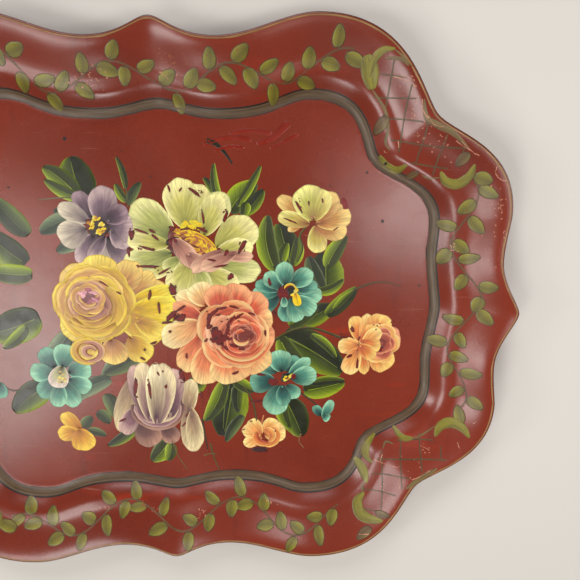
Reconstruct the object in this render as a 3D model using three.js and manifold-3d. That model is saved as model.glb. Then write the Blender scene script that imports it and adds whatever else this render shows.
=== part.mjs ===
// A painted serving tray pressed from one steel sheet, with a scalloped rim rolled round a steel wire.
// Units are millimetres. +Z is up, X runs along the tray and the origin is at the middle of the
// underside of the floor, which the tray rests on.

import * as THREE from "three";
import Module from "manifold-3d";

const wasm = await Module();
wasm.setup();

// Overall sizes.
const LENGTH = 571; // over the two points at the ends
const WIDTH = 449; // over the lobes of the long sides
const HEIGHT = 27; // underside of the floor to the top of the rim

// Sheet, rolled rim and the wire inside it.
const SHEET = 0.7;
const WIRE_DIAMETER = 1.4;
const WIRE_CLEARANCE = 0.3; // all round the wire, inside the rolled rim
const WIRE_BUTT_GAP = 2; // between the two ends of the wire
const ROLL_TURN = 262; // degrees that the sheet turns round the wire

// The border, from the foot of its wall to the rim.
const BORDER_AT_ENDS = 63; // across the border at the end points
const BORDER_AT_SIDES = 54.5; // across the border at the lobes of the long sides
const FILLET_REACH = 4; // the bend between floor and wall, to each side of the foot line
const FOOT_RISE = 0.9; // height of the bend above the floor at the foot line
const FILLET_RISE = 3.6; // height of the bend at its outer end
const SHOULDER_REACH = 14; // foot line to the shoulder where the wall turns into the flange
const SHOULDER_RISE = 11.2; // floor to that shoulder
const SHOULDER_ROUND = 5.5; // length of flange over which the shoulder's bend runs out
const SHOULDER_RUNOUT_RISE = 1.8; // what the flange climbs over that length
const RIM_SLOPE = 8; // degrees above level of the flange where it meets the rim

// Facets.
const WIRE_SIDES = 8;
const ROLL_STEPS = 8;
const FLANGE_STEPS = 4;
const STEPS_OF_CURVE = [5, 3, 8, 8, 5, 4]; // of each outline curve in a quarter, end point to side point

const halfLength = LENGTH / 2;
const halfWidth = WIDTH / 2;
const wireRadius = WIRE_DIAMETER / 2;
const rollInside = wireRadius + WIRE_CLEARANCE;
const rollOutside = rollInside + SHEET;
const up = Math.PI / 2; // a tangent across the tray
const back = Math.PI; // a tangent along the tray, towards its middle

// An outline's anchor: its place, its tangent, and how far the curve's handles reach before and after it.
function anchor(x, y, tangent, before, after) {
  const place = new THREE.Vector2(x, y);
  const along = new THREE.Vector2(Math.cos(tangent), Math.sin(tangent));
  return {
    place,
    handleBefore: place.clone().addScaledVector(along, -before),
    handleAfter: place.clone().addScaledVector(along, after),
  };
}

// A quarter of the rim's outline, from the point at the tray's end round to the point at its side.
function rimAnchors() {
  const notchTangent = THREE.MathUtils.degToRad(128);
  return [
    anchor(halfLength, 0, up, 0, 8), // end point
    anchor(halfLength - 16.5, 45, up, 20, 14), // hollow beside it
    anchor(halfLength - 13, 80, up, 4, 54), // end lobe
    anchor(halfLength - 76.5, halfWidth - 68.5, notchTangent, 19, 20), // corner notch
    anchor(halfLength - 165, halfWidth, back, 66, 23), // side lobe
    anchor(46, halfWidth - 16, back, 27, 27), // hollow beside the side point
    anchor(0, halfWidth - 3, back, 9, 0), // side point
  ];
}

// The same quarter of the foot line, where the wall meets the floor.
function footAnchors() {
  const footHalfLength = halfLength - BORDER_AT_ENDS;
  const footHalfWidth = halfWidth - BORDER_AT_SIDES;
  const notchTangent = THREE.MathUtils.degToRad(108);
  return [
    anchor(footHalfLength, 0, up, 0, 9.5),
    anchor(footHalfLength - 5.5, 48, up, 15, 6),
    anchor(footHalfLength - 4.5, 70, up, 10, 37),
    anchor(footHalfLength - 58, footHalfWidth - 42.5, notchTangent, 23.5, 19),
    anchor(footHalfLength - 106, footHalfWidth, back, 38, 21),
    anchor(47, footHalfWidth - 14.5, back, 43, 20.5),
    anchor(0, footHalfWidth - 7, back, 11.5, 0),
  ];
}

// Points along a quarter, and then all the way round by mirroring it, without doubled points.
function closedOutline(anchors) {
  const quarter = STEPS_OF_CURVE.flatMap((steps, k) => {
    const from = anchors[k];
    const to = anchors[k + 1];
    const curve = new THREE.CubicBezierCurve(from.place, from.handleAfter, to.handleBefore, to.place);
    return curve.getPoints(steps).slice(0, steps);
  });
  quarter.push(anchors.at(-1).place);
  const forward = quarter.slice(0, -1);
  const backward = quarter.slice(1).reverse();
  const mirrored = (points, sx, sy) => points.map((p) => new THREE.Vector2(sx * p.x, sy * p.y));
  return [
    ...forward,
    ...mirrored(backward, -1, 1),
    ...mirrored(forward, -1, -1),
    ...mirrored(backward, 1, -1),
  ];
}

const rimLine = closedOutline(rimAnchors());
const footLine = closedOutline(footAnchors());

// A section across the border has its own plane, with distance outwards from the foot line and height.
const borderWidths = rimLine.map((p, i) => p.distanceTo(footLine[i]));

function placeSection(i, points) {
  const outwards = rimLine[i].clone().sub(footLine[i]).normalize();
  return points.map(({ x, y }) => {
    const place = footLine[i].clone().addScaledVector(outwards, x);
    return new THREE.Vector3(place.x, place.y, y);
  });
}

// Centre of the wire, and of the roll round it.
const wireCentre = (borderWidth) => new THREE.Vector2(borderWidth - rollOutside, HEIGHT - rollOutside);

function onRoll(borderWidth, radius, angle) {
  return wireCentre(borderWidth).add(new THREE.Vector2(Math.cos(angle), Math.sin(angle)).multiplyScalar(radius));
}

const rollStart = THREE.MathUtils.degToRad(90 + RIM_SLOPE);
const rollEnd = rollStart - THREE.MathUtils.degToRad(ROLL_TURN);

// The flange's upper face: it leaves the shoulder nearly level, climbs, and levels out again at the rim.
function flangeCurve(borderWidth) {
  const start = new THREE.Vector2(SHOULDER_REACH + SHOULDER_ROUND, SHEET + SHOULDER_RISE + SHOULDER_RUNOUT_RISE);
  const end = onRoll(borderWidth, rollOutside, rollStart);
  const reach = (end.x - start.x) / 3;
  const rimSlope = Math.tan(THREE.MathUtils.degToRad(RIM_SLOPE));
  const shoulderSlope = 0.5 * (SHOULDER_RUNOUT_RISE / SHOULDER_ROUND);
  return new THREE.CubicBezierCurve(
    start,
    new THREE.Vector2(start.x + reach, start.y + reach * shoulderSlope),
    new THREE.Vector2(end.x - reach, end.y - reach * rimSlope),
    end,
  );
}

// The upper face from the edge of the flat floor to the start of the roll.
function upperFace(borderWidth) {
  const wallMiddle = (FILLET_REACH + SHOULDER_REACH) / 2;
  const wallMiddleRise = (FILLET_RISE + SHOULDER_RISE) / 2 + 0.4;
  return [
    new THREE.Vector2(-FILLET_REACH, SHEET),
    new THREE.Vector2(0, SHEET + FOOT_RISE),
    new THREE.Vector2(FILLET_REACH, SHEET + FILLET_RISE),
    new THREE.Vector2(wallMiddle, SHEET + wallMiddleRise),
    new THREE.Vector2(SHOULDER_REACH, SHEET + SHOULDER_RISE),
    ...flangeCurve(borderWidth).getPoints(FLANGE_STEPS),
  ];
}

// The lower face: the upper one moved down by the sheet's thickness, square to it.
function lowerFace(upper) {
  return upper.map((point, j) => {
    if (j === 0) return new THREE.Vector2(point.x, 0);
    const before = upper[j - 1];
    const after = upper[j + 1] ?? point;
    const along = after.clone().sub(before).normalize();
    const last = j === upper.length - 1;
    const normal = last
      ? new THREE.Vector2(Math.cos(rollStart), Math.sin(rollStart))
      : new THREE.Vector2(-along.y, along.x);
    return point.clone().addScaledVector(normal, -SHEET);
  });
}

function rollArc(borderWidth, radius) {
  return Array.from({ length: ROLL_STEPS }, (_, k) => {
    const angle = rollStart + ((rollEnd - rollStart) * (k + 1)) / ROLL_STEPS;
    return onRoll(borderWidth, radius, angle);
  });
}

function sheetSection(i) {
  const width = borderWidths[i];
  const upper = upperFace(width);
  const border = placeSection(i, [
    ...lowerFace(upper),
    ...rollArc(width, rollInside),
    ...rollArc(width, rollOutside).reverse(),
    ...upper.reverse(),
  ]);
  return [new THREE.Vector3(0, 0, 0), ...border, new THREE.Vector3(0, 0, SHEET)];
}

function wireSection(i) {
  const circle = Array.from({ length: WIRE_SIDES + 1 }, (_, k) => {
    const angle = (2 * Math.PI * (k % WIRE_SIDES)) / WIRE_SIDES;
    return onRoll(borderWidths[i], wireRadius, angle);
  });
  return placeSection(i, circle);
}

// Skins the sections that stand round the tray. A lathe gives the faces, and its points move to the sections.
function skin(sectionAt) {
  const sections = rimLine.map((_, i) => sectionAt(i));
  const perSection = sections[0].length;
  const outline = sections[0].map((_, j) => new THREE.Vector2(1, j));
  const geometry = new THREE.LatheGeometry(outline, sections.length);
  const position = geometry.attributes.position;
  for (let i = 0; i <= sections.length; i++) {
    sections[i % sections.length].forEach((p, j) => position.setXYZ(i * perSection + j, p.x, p.y, p.z));
  }
  geometry.computeVertexNormals();
  return geometry;
}

function solidOf(geometry) {
  const positions = geometry.attributes.position.array;
  const index = geometry.index.array;
  const mesh = new wasm.Mesh({ numProp: 3, vertProperties: positions, triVerts: new Uint32Array(index) });
  mesh.merge();
  return new wasm.Manifold(mesh);
}

function geometryOf(solid) {
  const { vertProperties, triVerts } = solid.getMesh();
  const geometry = new THREE.BufferGeometry();
  geometry.setAttribute("position", new THREE.BufferAttribute(vertProperties, 3));
  geometry.setIndex(new THREE.BufferAttribute(triVerts, 1));
  geometry.computeVertexNormals();
  return geometry;
}

// The wire's two ends butt at the middle of one long side, with a small gap between them.
function wireGeometry() {
  const ring = solidOf(skin(wireSection));
  const cutter = new THREE.BoxGeometry(WIRE_BUTT_GAP, 4 * rollOutside, 4 * rollOutside);
  cutter.translate(0, rollOutside - (halfWidth - 3), HEIGHT - rollOutside);
  return geometryOf(ring.subtract(solidOf(cutter)));
}

const redLacquer = new THREE.MeshStandardMaterial({ color: 0x86301f, roughness: 0.3, metalness: 0.1 });
const steel = new THREE.MeshStandardMaterial({ color: 0x8b8d8f, roughness: 0.45, metalness: 1 });

function named(name, geometry, material) {
  const mesh = new THREE.Mesh(geometry, material);
  mesh.name = name;
  return mesh;
}

const tray = new THREE.Group();
tray.add(named("tray_body", skin(sheetSection), redLacquer));
tray.add(named("rim_wire", wireGeometry(), steel));

export default tray;
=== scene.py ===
"""Looks of a painted metal tray: lacquered body, olive band, rim line and hand-painted flowers.

Lengths are in millimetres in the tables and helpers of the tray and its painting. They are in metres in every
mesh, and in the stage, the lights and the height that rays start from.
"""

import math

import bmesh
import bpy
import numpy as np
from mathutils import Matrix, Vector
from mathutils.bvhtree import BVHTree


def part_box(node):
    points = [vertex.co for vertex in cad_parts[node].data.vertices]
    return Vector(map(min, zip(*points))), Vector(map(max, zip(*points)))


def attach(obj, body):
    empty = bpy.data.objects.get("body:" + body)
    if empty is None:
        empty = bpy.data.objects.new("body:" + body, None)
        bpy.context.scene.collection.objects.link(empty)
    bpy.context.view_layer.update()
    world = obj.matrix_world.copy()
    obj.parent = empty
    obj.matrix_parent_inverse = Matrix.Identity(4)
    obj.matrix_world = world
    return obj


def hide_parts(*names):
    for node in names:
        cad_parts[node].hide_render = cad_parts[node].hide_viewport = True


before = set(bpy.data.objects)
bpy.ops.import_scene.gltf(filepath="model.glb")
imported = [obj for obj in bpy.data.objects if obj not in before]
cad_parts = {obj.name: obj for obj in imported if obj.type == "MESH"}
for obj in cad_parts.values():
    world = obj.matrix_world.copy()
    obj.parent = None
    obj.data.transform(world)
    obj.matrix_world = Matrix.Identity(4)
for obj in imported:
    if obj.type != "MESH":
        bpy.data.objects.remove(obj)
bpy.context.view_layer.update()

MM = 0.001
TAU = 2 * math.pi
rng = np.random.default_rng(7)

scene = bpy.context.scene
scene.view_settings.view_transform = "Standard"

# ---------------------------------------------------------------- outline and section of the tray
_, body_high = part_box("tray_body")
HALF_LENGTH = round(body_high[0] / MM, 1)
HALF_WIDTH = round(body_high[1] / MM, 1)
HEIGHT = round(body_high[2] / MM)
SHEET = 0.7
WIRE = 1.4
CLEARANCE = 0.3
ROLL_TURN = 262
RIM_SLOPE = 8
BORDER_AT_ENDS = 63
BORDER_AT_SIDES = 54.5
STEPS_OF_CURVE = (25, 15, 40, 40, 25, 20)
WALL = ((-9, 0), (-4, 0), (0, 0.9), (4, 3.6), (9, 7.8), (14, 11.2))  # out from the foot, up from the floor
FLANGE_START = (19.5, 13.0)
FLAT_POINTS = 5  # points of the section's underside that may not go below the ground
ROLL_STEPS = 14
FLOOR_RINGS = 18
FLOOR_WAVE = 0.16

ROLL_INSIDE = WIRE / 2 + CLEARANCE
ROLL_OUTSIDE = ROLL_INSIDE + SHEET


def anchor(x, y, tangent, before, after):
    along = np.array((math.cos(math.radians(tangent)), math.sin(math.radians(tangent))))
    place = np.array((x, y), float)
    return place, place - along * before, place + along * after


def rim_anchors():
    x, y = HALF_LENGTH, HALF_WIDTH
    return (
        anchor(x, 0, 90, 0, 8),
        anchor(x - 16.5, 45, 90, 20, 14),
        anchor(x - 13, 80, 90, 4, 54),
        anchor(x - 76.5, y - 68.5, 128, 19, 20),
        anchor(x - 165, y, 180, 66, 23),
        anchor(46, y - 16, 180, 27, 27),
        anchor(0, y - 3, 180, 9, 0),
    )


def foot_anchors():
    x, y = HALF_LENGTH - BORDER_AT_ENDS, HALF_WIDTH - BORDER_AT_SIDES
    return (
        anchor(x, 0, 90, 0, 9.5),
        anchor(x - 5.5, 48, 90, 15, 6),
        anchor(x - 4.5, 70, 90, 10, 37),
        anchor(x - 58, y - 42.5, 108, 23.5, 19),
        anchor(x - 106, y, 180, 38, 21),
        anchor(47, y - 14.5, 180, 43, 20.5),
        anchor(0, y - 7, 180, 11.5, 0),
    )


def bezier(a, b, c, d, t):
    t = np.asarray(t)[:, None]
    return (1 - t) ** 3 * a + 3 * (1 - t) ** 2 * t * b + 3 * (1 - t) * t**2 * c + t**3 * d


def closed_outline(anchors):
    quarter = []
    for k, steps in enumerate(STEPS_OF_CURVE):
        place, _, after = anchors[k]
        end, before, _ = anchors[k + 1]
        quarter.append(bezier(place, after, before, end, np.arange(steps) / steps))
    quarter.append(anchors[-1][0][None])
    quarter = np.concatenate(quarter)
    forward, backward = quarter[:-1], quarter[:0:-1]
    signs = ((1, 1, forward), (-1, 1, backward), (-1, -1, forward), (1, -1, backward))
    return np.concatenate([points * (sx, sy) for sx, sy, points in signs])


RIM = closed_outline(rim_anchors())
FOOT = closed_outline(foot_anchors())
WIDTHS = np.linalg.norm(RIM - FOOT, axis=1)
OUTWARD = (RIM - FOOT) / WIDTHS[:, None]
SECTIONS = len(RIM)


def smooth_through(points, per_span=8):
    """A Catmull-Rom curve through the points."""
    p = np.array(points, float)
    p = np.vstack((2 * p[0] - p[1], p, 2 * p[-1] - p[-2]))
    out = []
    for k in range(1, len(p) - 2):
        t = (np.arange(per_span) / per_span)[:, None]
        a, b, c, d = p[k - 1], p[k], p[k + 1], p[k + 2]
        out.append(
            0.5
            * (2 * b + (c - a) * t + (2 * a - 5 * b + 4 * c - d) * t**2 + (3 * b - a - 3 * c + d) * t**3)
        )
    return np.vstack((*out, p[-2][None]))


def roll_point(width, radius, angle):
    centre = np.array((width - ROLL_OUTSIDE, HEIGHT - ROLL_OUTSIDE))
    return centre + radius * np.array((math.cos(angle), math.sin(angle)))


def upper_face(width):
    roll_start = math.radians(90 + RIM_SLOPE)
    start = np.array((FLANGE_START[0], SHEET + FLANGE_START[1]))
    end = roll_point(width, ROLL_OUTSIDE, roll_start)
    reach = (end[0] - start[0]) / 3
    rise = math.tan(math.radians(RIM_SLOPE))
    after_start, before_end = start + (reach, reach * 0.164), end - (reach, reach * rise)
    flange = bezier(start, after_start, before_end, end, np.linspace(0, 1, 9))
    wall = [(out, SHEET + up) for out, up in WALL]
    return smooth_through([*wall, *flange], 3)


def tray_section(width):
    """Outline of the sheet across the border, from the floor's underside round the roll to its top."""
    top = upper_face(width)
    tangent = np.gradient(top, axis=0)
    tangent /= np.linalg.norm(tangent, axis=1)[:, None]
    bottom = top - SHEET * np.stack((-tangent[:, 1], tangent[:, 0]), 1)
    bottom[:FLAT_POINTS, 1] = np.maximum(bottom[:FLAT_POINTS, 1], 0)
    start = math.radians(90 + RIM_SLOPE)
    bottom[-1] = roll_point(width, ROLL_INSIDE, start)
    angles = [start - math.radians(ROLL_TURN) * k / ROLL_STEPS for k in range(1, ROLL_STEPS + 1)]
    inner = np.array([roll_point(width, ROLL_INSIDE, a) for a in angles])
    outer = np.array([roll_point(width, ROLL_OUTSIDE, a) for a in angles])
    return np.vstack((bottom, inner, outer[::-1], top[::-1]))


def floor_warp(x, y):
    """A pressed floor is never quite flat; its slow waves bend what it reflects."""
    edge = np.clip(1 - (x / 205) ** 4, 0, 1) * np.clip(1 - (y / 145) ** 4, 0, 1)
    waves = np.sin(x / 47 + 0.8) * np.cos(y / 39 - 0.5) + 0.5 * np.sin(x / 23 + y / 31)
    return FLOOR_WAVE * edge * waves


def make_object(name, vertices, faces, material):
    mesh = bpy.data.meshes.new(name)
    mesh.from_pydata((np.asarray(vertices) * MM).tolist(), [], faces)
    mesh.materials.append(material)
    mesh.polygons.foreach_set("use_smooth", [True] * len(mesh.polygons))
    mesh.update()
    obj = bpy.data.objects.new(name, mesh)
    scene.collection.objects.link(obj)
    return obj


def build_tray(material):
    section = np.array([tray_section(w) for w in WIDTHS])
    plan = FOOT[:, None] + OUTWARD[:, None] * section[:, :, :1]
    border = np.concatenate((plan, section[:, :, 1:]), axis=2)
    under_edge, top_edge = border[:, 0], border[:, -1]
    shrink = (1 - np.linspace(0, 1, FLOOR_RINGS + 2)[1:-1])[None, :, None]

    def floor(edge, z):
        flat = edge[:, None, :2] * shrink
        heights = z + floor_warp(flat[..., 0], flat[..., 1]) * (z > 0)
        return np.concatenate((flat, heights[..., None]), axis=2)

    rows = np.concatenate((floor(under_edge, 0.0)[:, ::-1], border, floor(top_edge, SHEET)), axis=1)
    count = rows.shape[1]
    vertices = rows.reshape(-1, 3)
    centre_top = SHEET + float(floor_warp(0.0, 0.0))
    vertices = np.vstack((vertices, (0, 0, 0), (0, 0, centre_top)))
    faces = []
    last = len(vertices)
    for i in range(SECTIONS):
        j = (i + 1) % SECTIONS
        a, b = i * count, j * count
        faces.append((last - 2, b, a))
        faces.extend((a + k, b + k, b + k + 1, a + k + 1) for k in range(count - 1))
        faces.append((a + count - 1, b + count - 1, last - 1))
    return make_object("tray_lacquered", vertices, faces, material)


# ---------------------------------------------------------------- materials
def srgb(r, g, b):
    c = np.array((r, g, b)) / 255
    return np.where(c <= 0.04045, c / 12.92, ((c + 0.055) / 1.055) ** 2.4)


class Nodes:
    def __init__(self, name):
        self.material = bpy.data.materials.new(name)
        self.material.use_nodes = True
        self.tree = self.material.node_tree
        self.tree.nodes.clear()
        self.out = self.tree.nodes.new("ShaderNodeOutputMaterial")
        self.bsdf = self.tree.nodes.new("ShaderNodeBsdfPrincipled")
        self.link(self.bsdf.outputs[0], self.out.inputs[0])

    def link(self, a, b):
        self.tree.links.new(a, b)

    def add(self, kind, **settings):
        node = self.tree.nodes.new("ShaderNode" + kind)
        for key, value in settings.items():
            if key in node.inputs:
                socket = node.inputs[key]
                if isinstance(value, bpy.types.NodeSocket):
                    self.link(value, socket)
                else:
                    socket.default_value = value
            else:
                setattr(node, key, value)
        return node

    def coordinates(self, scale=(1, 1, 1), rotation=(0, 0, 0)):
        source = self.add("TexCoord").outputs["Object"]
        return self.add("Mapping", Vector=source, Scale=scale, Rotation=rotation).outputs[0]

    def noise(self, vector, scale, detail=3.0, roughness=0.5):
        node = self.add("TexNoise", Scale=scale, Detail=detail, Roughness=roughness)
        self.link(vector, node.inputs["Vector"])
        return node.outputs["Fac"]

    def ramp(self, value, low, high, out_low=0.0, out_high=1.0):
        node = self.add("MapRange", clamp=True, interpolation_type="SMOOTHSTEP")
        self.link(value, node.inputs["Value"])
        for key, number in (("From Min", low), ("From Max", high), ("To Min", out_low), ("To Max", out_high)):
            node.inputs[key].default_value = number
        return node.outputs["Result"]

    def math(self, operation, a, b):
        node = self.tree.nodes.new("ShaderNodeMath")
        node.operation = operation
        for socket, value in zip(node.inputs, (a, b)):
            if isinstance(value, bpy.types.NodeSocket):
                self.link(value, socket)
            else:
                socket.default_value = value
        return node.outputs[0]

    def mix(self, factor, a, b, blend="MIX"):
        node = self.tree.nodes.new("ShaderNodeMix")
        node.data_type = "RGBA"
        node.blend_type = blend
        for socket, value in ((node.inputs[0], factor), (node.inputs[6], a), (node.inputs[7], b)):
            if isinstance(value, bpy.types.NodeSocket):
                self.link(value, socket)
            elif socket == node.inputs[0]:
                socket.default_value = value
            else:
                socket.default_value = (*value, 1)
        return node.outputs[2]

    def bump(self, height, strength, distance):
        node = self.add("Bump", Strength=strength, Distance=distance)
        self.link(height, node.inputs["Height"])
        self.link(node.outputs[0], self.bsdf.inputs["Normal"])


def lacquer_material():
    n = Nodes("red_lacquer")
    xyz = n.coordinates()
    drift = n.ramp(n.noise(xyz, 6, 4, 0.55), 0.35, 0.68)
    colour = n.mix(drift, srgb(107, 33, 14), srgb(125, 42, 21))
    smear_a = n.noise(n.coordinates((5, 26, 5), (0, 0, 0.5)), 1.6, 3, 0.6)
    colour = n.mix(n.ramp(smear_a, 0.60, 0.74, 0, 0.75), colour, srgb(150, 40, 10))
    smear_b = n.noise(n.coordinates((22, 6, 5), (0, 0, 0.3)), 1.8, 3, 0.6)
    colour = n.mix(n.ramp(smear_b, 0.58, 0.75, 0, 0.7), colour, srgb(96, 30, 20))
    fine = n.noise(xyz, 900, 2, 0.6)
    colour = n.mix(n.ramp(fine, 0.3, 0.75, 0, 0.22), colour, srgb(152, 60, 40))
    scratches = None
    for angle, where, tone in ((0.35, 11, 260), (1.45, 9, 230), (2.5, 13, 300)):
        lines = n.noise(n.coordinates((6, tone, 6), (0, 0, angle)), 1.0, 2, 0.45)
        lines = n.ramp(lines, 0.70, 0.78)
        patches = n.ramp(n.noise(n.coordinates((1, 1, 1), (angle, 0, 0)), where * 1.6, 2), 0.52, 0.66)
        marked = n.math("MULTIPLY", lines, patches)
        scratches = marked if scratches is None else n.math("MAXIMUM", scratches, marked)
    colour = n.mix(n.math("MULTIPLY", scratches, 0.38), colour, srgb(196, 140, 116))
    specks = n.ramp(n.noise(xyz, 420, 1, 0.4), 0.80, 0.84)
    colour = n.mix(n.math("MULTIPLY", specks, 0.8), colour, srgb(70, 18, 14))
    n.link(colour, n.bsdf.inputs["Base Color"])
    rough = n.ramp(n.noise(xyz, 14, 4, 0.6), 0.3, 0.7, 0.21, 0.31)
    rough = n.math("ADD", rough, n.math("MULTIPLY", scratches, 0.15))
    n.link(rough, n.bsdf.inputs["Roughness"])
    n.bsdf.inputs["Specular IOR Level"].default_value = 0.5
    n.bsdf.inputs["Coat Weight"].default_value = 0.2
    n.bsdf.inputs["Coat Roughness"].default_value = 0.22
    peel = n.math("ADD", n.noise(xyz, 160, 3, 0.5), n.math("MULTIPLY", scratches, -0.35))
    n.bump(peel, 0.25, 0.00022)
    return n.material


def paint_material(name, streak=0.16, roughness=0.36, relief=0.35, wear=0.0):
    """Paint laid on by a loaded brush: its colours are on the mesh, its bristle lines follow the stroke."""
    n = Nodes(name)
    paint = n.add("Attribute", attribute_name="paint")
    colour, ridge = paint.outputs["Color"], paint.outputs["Alpha"]
    along = n.add("UVMap", uv_map="stroke").outputs["UV"]
    bristles = n.add("Mapping", Vector=along, Scale=(0.09, 1.9, 1)).outputs[0]
    lines = n.noise(bristles, 1.0, 4, 0.62)
    broad = n.noise(n.add("Mapping", Vector=along, Scale=(0.05, 0.55, 1)).outputs[0], 1.0, 2, 0.5)
    lines_up = n.ramp(lines, 0.32, 0.70, 1 - streak, 1 + streak)
    broad_up = n.ramp(broad, 0.3, 0.7, 1 - streak * 0.7, 1 + streak * 0.7)
    level = n.math("MULTIPLY", lines_up, broad_up)
    shade = n.add("CombineColor")
    for socket in shade.inputs:
        n.link(level, socket)
    colour = n.mix(1.0, colour, shade.outputs[0], "MULTIPLY")
    if wear:
        worn = n.ramp(n.noise(n.coordinates(), 260, 4, 0.7), 0.56, 0.70, 0, wear)
        colour = n.mix(worn, colour, srgb(120, 48, 34))
    n.link(colour, n.bsdf.inputs["Base Color"])
    gloss = n.ramp(n.noise(n.coordinates(), 90, 3), 0.3, 0.7, roughness - 0.06, roughness + 0.08)
    n.link(gloss, n.bsdf.inputs["Roughness"])
    n.bsdf.inputs["Coat Weight"].default_value = 0.15
    n.bsdf.inputs["Coat Roughness"].default_value = 0.25
    bristle_height = n.math("ADD", lines, n.math("MULTIPLY", broad, 0.6))
    n.bump(n.math("ADD", bristle_height, n.math("MULTIPLY", ridge, 1.6)), relief, 0.00025)
    return n.material


def steel_material():
    n = Nodes("bare_steel_wire")
    colour = n.mix(n.ramp(n.noise(n.coordinates(), 300, 3), 0.4, 0.7), srgb(150, 148, 146), srgb(104, 92, 82))
    n.link(colour, n.bsdf.inputs["Base Color"])
    n.bsdf.inputs["Metallic"].default_value = 0.9
    n.bsdf.inputs["Roughness"].default_value = 0.45
    return n.material


def floor_material():
    n = Nodes("pale_floor")
    n.bsdf.inputs["Base Color"].default_value = (*srgb(212, 208, 202), 1)
    n.bsdf.inputs["Roughness"].default_value = 0.85
    return n.material


# ---------------------------------------------------------------- paint strokes
lacquer = lacquer_material()
tray = build_tray(lacquer)
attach(tray, "root")
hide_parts("tray_body")

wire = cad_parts["rim_wire"]
wire.data.materials.clear()
wire.data.materials.append(steel_material())

surface = BVHTree.FromPolygons(
    [v.co.copy() for v in tray.data.vertices], [tuple(p.vertices) for p in tray.data.polygons]
)
DOWN = Vector((0, 0, -1))
ABOVE_TRAY = 0.1  # metres


def drape(plan, lift):
    """Puts points given in plan on the tray's upper face, lifted along its normal."""
    flat = plan.reshape(-1, 2) * MM
    lifts = np.broadcast_to(lift, plan.shape[:-1]).reshape(-1) * MM
    placed = np.empty((len(flat), 3))
    for i, ((x, y), up) in enumerate(zip(flat.tolist(), lifts.tolist())):
        hit, normal, _, _ = surface.ray_cast(Vector((x, y, ABOVE_TRAY)), DOWN)
        if hit is None:
            hit, normal, _, _ = surface.find_nearest(Vector((x, y, HEIGHT * MM)))
        placed[i] = hit + normal * up
    return placed.reshape(*plan.shape[:-1], 3) / MM


class Paint:
    """A piece of painting: strokes laid one over another, each a thin closed film."""

    STEP = 0.014  # height between one stroke and the next
    UNDER = -0.06  # how far a film reaches below the lacquer's surface
    DEPTH = 1.15  # how much the darker tones are deepened
    VARNISH = np.array((0.92, 0.87, 0.80))  # the old varnish over all the painting, which warms it

    def __init__(self, name, slot, material, level=1):
        self.name, self.slot, self.material = name, slot, material
        self.level = level
        self.points, self.faces, self.colours, self.uvs, self.ridges = [], [], [], [], []
        self.count = 0

    def lay(self, plan, colours, uv, relief=0.014, wrap=False, pole=False, level=None):
        """Adds a stroke given as a grid of places, with its colours and its bristle coordinates."""
        plan = np.asarray(plan, float)
        n, m = plan.shape[:2]
        if level is None:
            level = self.level
            self.level += 1
        height = np.full((n, m), level * self.STEP)
        v = np.linspace(0 if pole else -1, 1, m)[None, :]
        height = height + relief * np.abs(v) ** 6
        height[:, -1] = self.UNDER
        if not pole:
            height[:, 0] = self.UNDER
        if not wrap:
            height[(0, -1), :] = self.UNDER
        side_a = plan[1:, :-1] - plan[:-1, :-1]
        side_b = plan[:-1, 1:] - plan[:-1, :-1]
        turn = (side_a[..., 0] * side_b[..., 1] - side_a[..., 1] * side_b[..., 0]).sum()
        top = drape(plan, height)
        under = drape(plan, self.UNDER)
        grid = np.arange(n * m).reshape(n, m) + self.count
        low = grid + n * m
        low[:, -1] = grid[:, -1]
        if not pole:
            low[:, 0] = grid[:, 0]
        if not wrap:
            low[0], low[-1] = grid[0], grid[-1]
        quads = []
        for g, flip in ((grid, turn < 0), (low, turn > 0)):
            a, b, c, d = g[:-1, :-1], g[1:, :-1], g[1:, 1:], g[:-1, 1:]
            if wrap:
                a = np.vstack((a, g[-1:, :-1]))
                b = np.vstack((b, g[:1, :-1]))
                c = np.vstack((c, g[:1, 1:]))
                d = np.vstack((d, g[-1:, 1:]))
            order = (a, d, c, b) if flip else (a, b, c, d)
            quads.append(np.stack([q.ravel() for q in order], 1))
        self.points.append(np.concatenate((top.reshape(-1, 3), under.reshape(-1, 3))))
        ridge = np.broadcast_to(np.abs(v) ** 8, (n, m)).reshape(-1)
        self.ridges.append(np.concatenate((ridge, ridge)))
        colours = np.broadcast_to(colours, (n, m, 3)).reshape(-1, 3)
        self.colours.append(np.concatenate((colours, colours)))
        uv = np.asarray(uv, float).reshape(-1, 2)
        self.uvs.append(np.concatenate((uv, uv)))
        self.faces.append(np.concatenate(quads))
        self.count += 2 * n * m

    def finish(self):
        points, faces = np.concatenate(self.points), np.concatenate(self.faces)
        colours, uvs = np.concatenate(self.colours), np.concatenate(self.uvs)
        used, index = np.unique(faces, return_inverse=True)
        faces = index.reshape(faces.shape)
        points, colours, uvs = points[used], colours[used], uvs[used]
        ridges = np.concatenate(self.ridges)[used]
        obj = make_object(self.name, points, faces.tolist(), self.material)
        mesh = obj.data
        layer = mesh.color_attributes.new("paint", "FLOAT_COLOR", "POINT")
        rgba = np.column_stack((np.clip(colours, 0, 1) ** self.DEPTH * self.VARNISH, ridges))
        layer.data.foreach_set("color", rgba.ravel())
        corner = np.empty(len(mesh.loops), np.int32)
        mesh.loops.foreach_get("vertex_index", corner)
        mesh.uv_layers.new(name="stroke").data.foreach_set("uv", uvs[corner].ravel())
        tidy = bmesh.new()
        tidy.from_mesh(mesh)
        bmesh.ops.remove_doubles(tidy, verts=tidy.verts, dist=2e-8)
        bmesh.ops.dissolve_degenerate(tidy, edges=tidy.edges, dist=1e-8)
        tidy.to_mesh(mesh)
        tidy.free()
        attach(obj, "root")
        return obj


def across(m):
    """Places across a stroke: close to its edges and then evenly."""
    inner = np.linspace(-0.95, 0.95, m - 2)
    return np.concatenate(((-1,), inner, (1,)))


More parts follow.
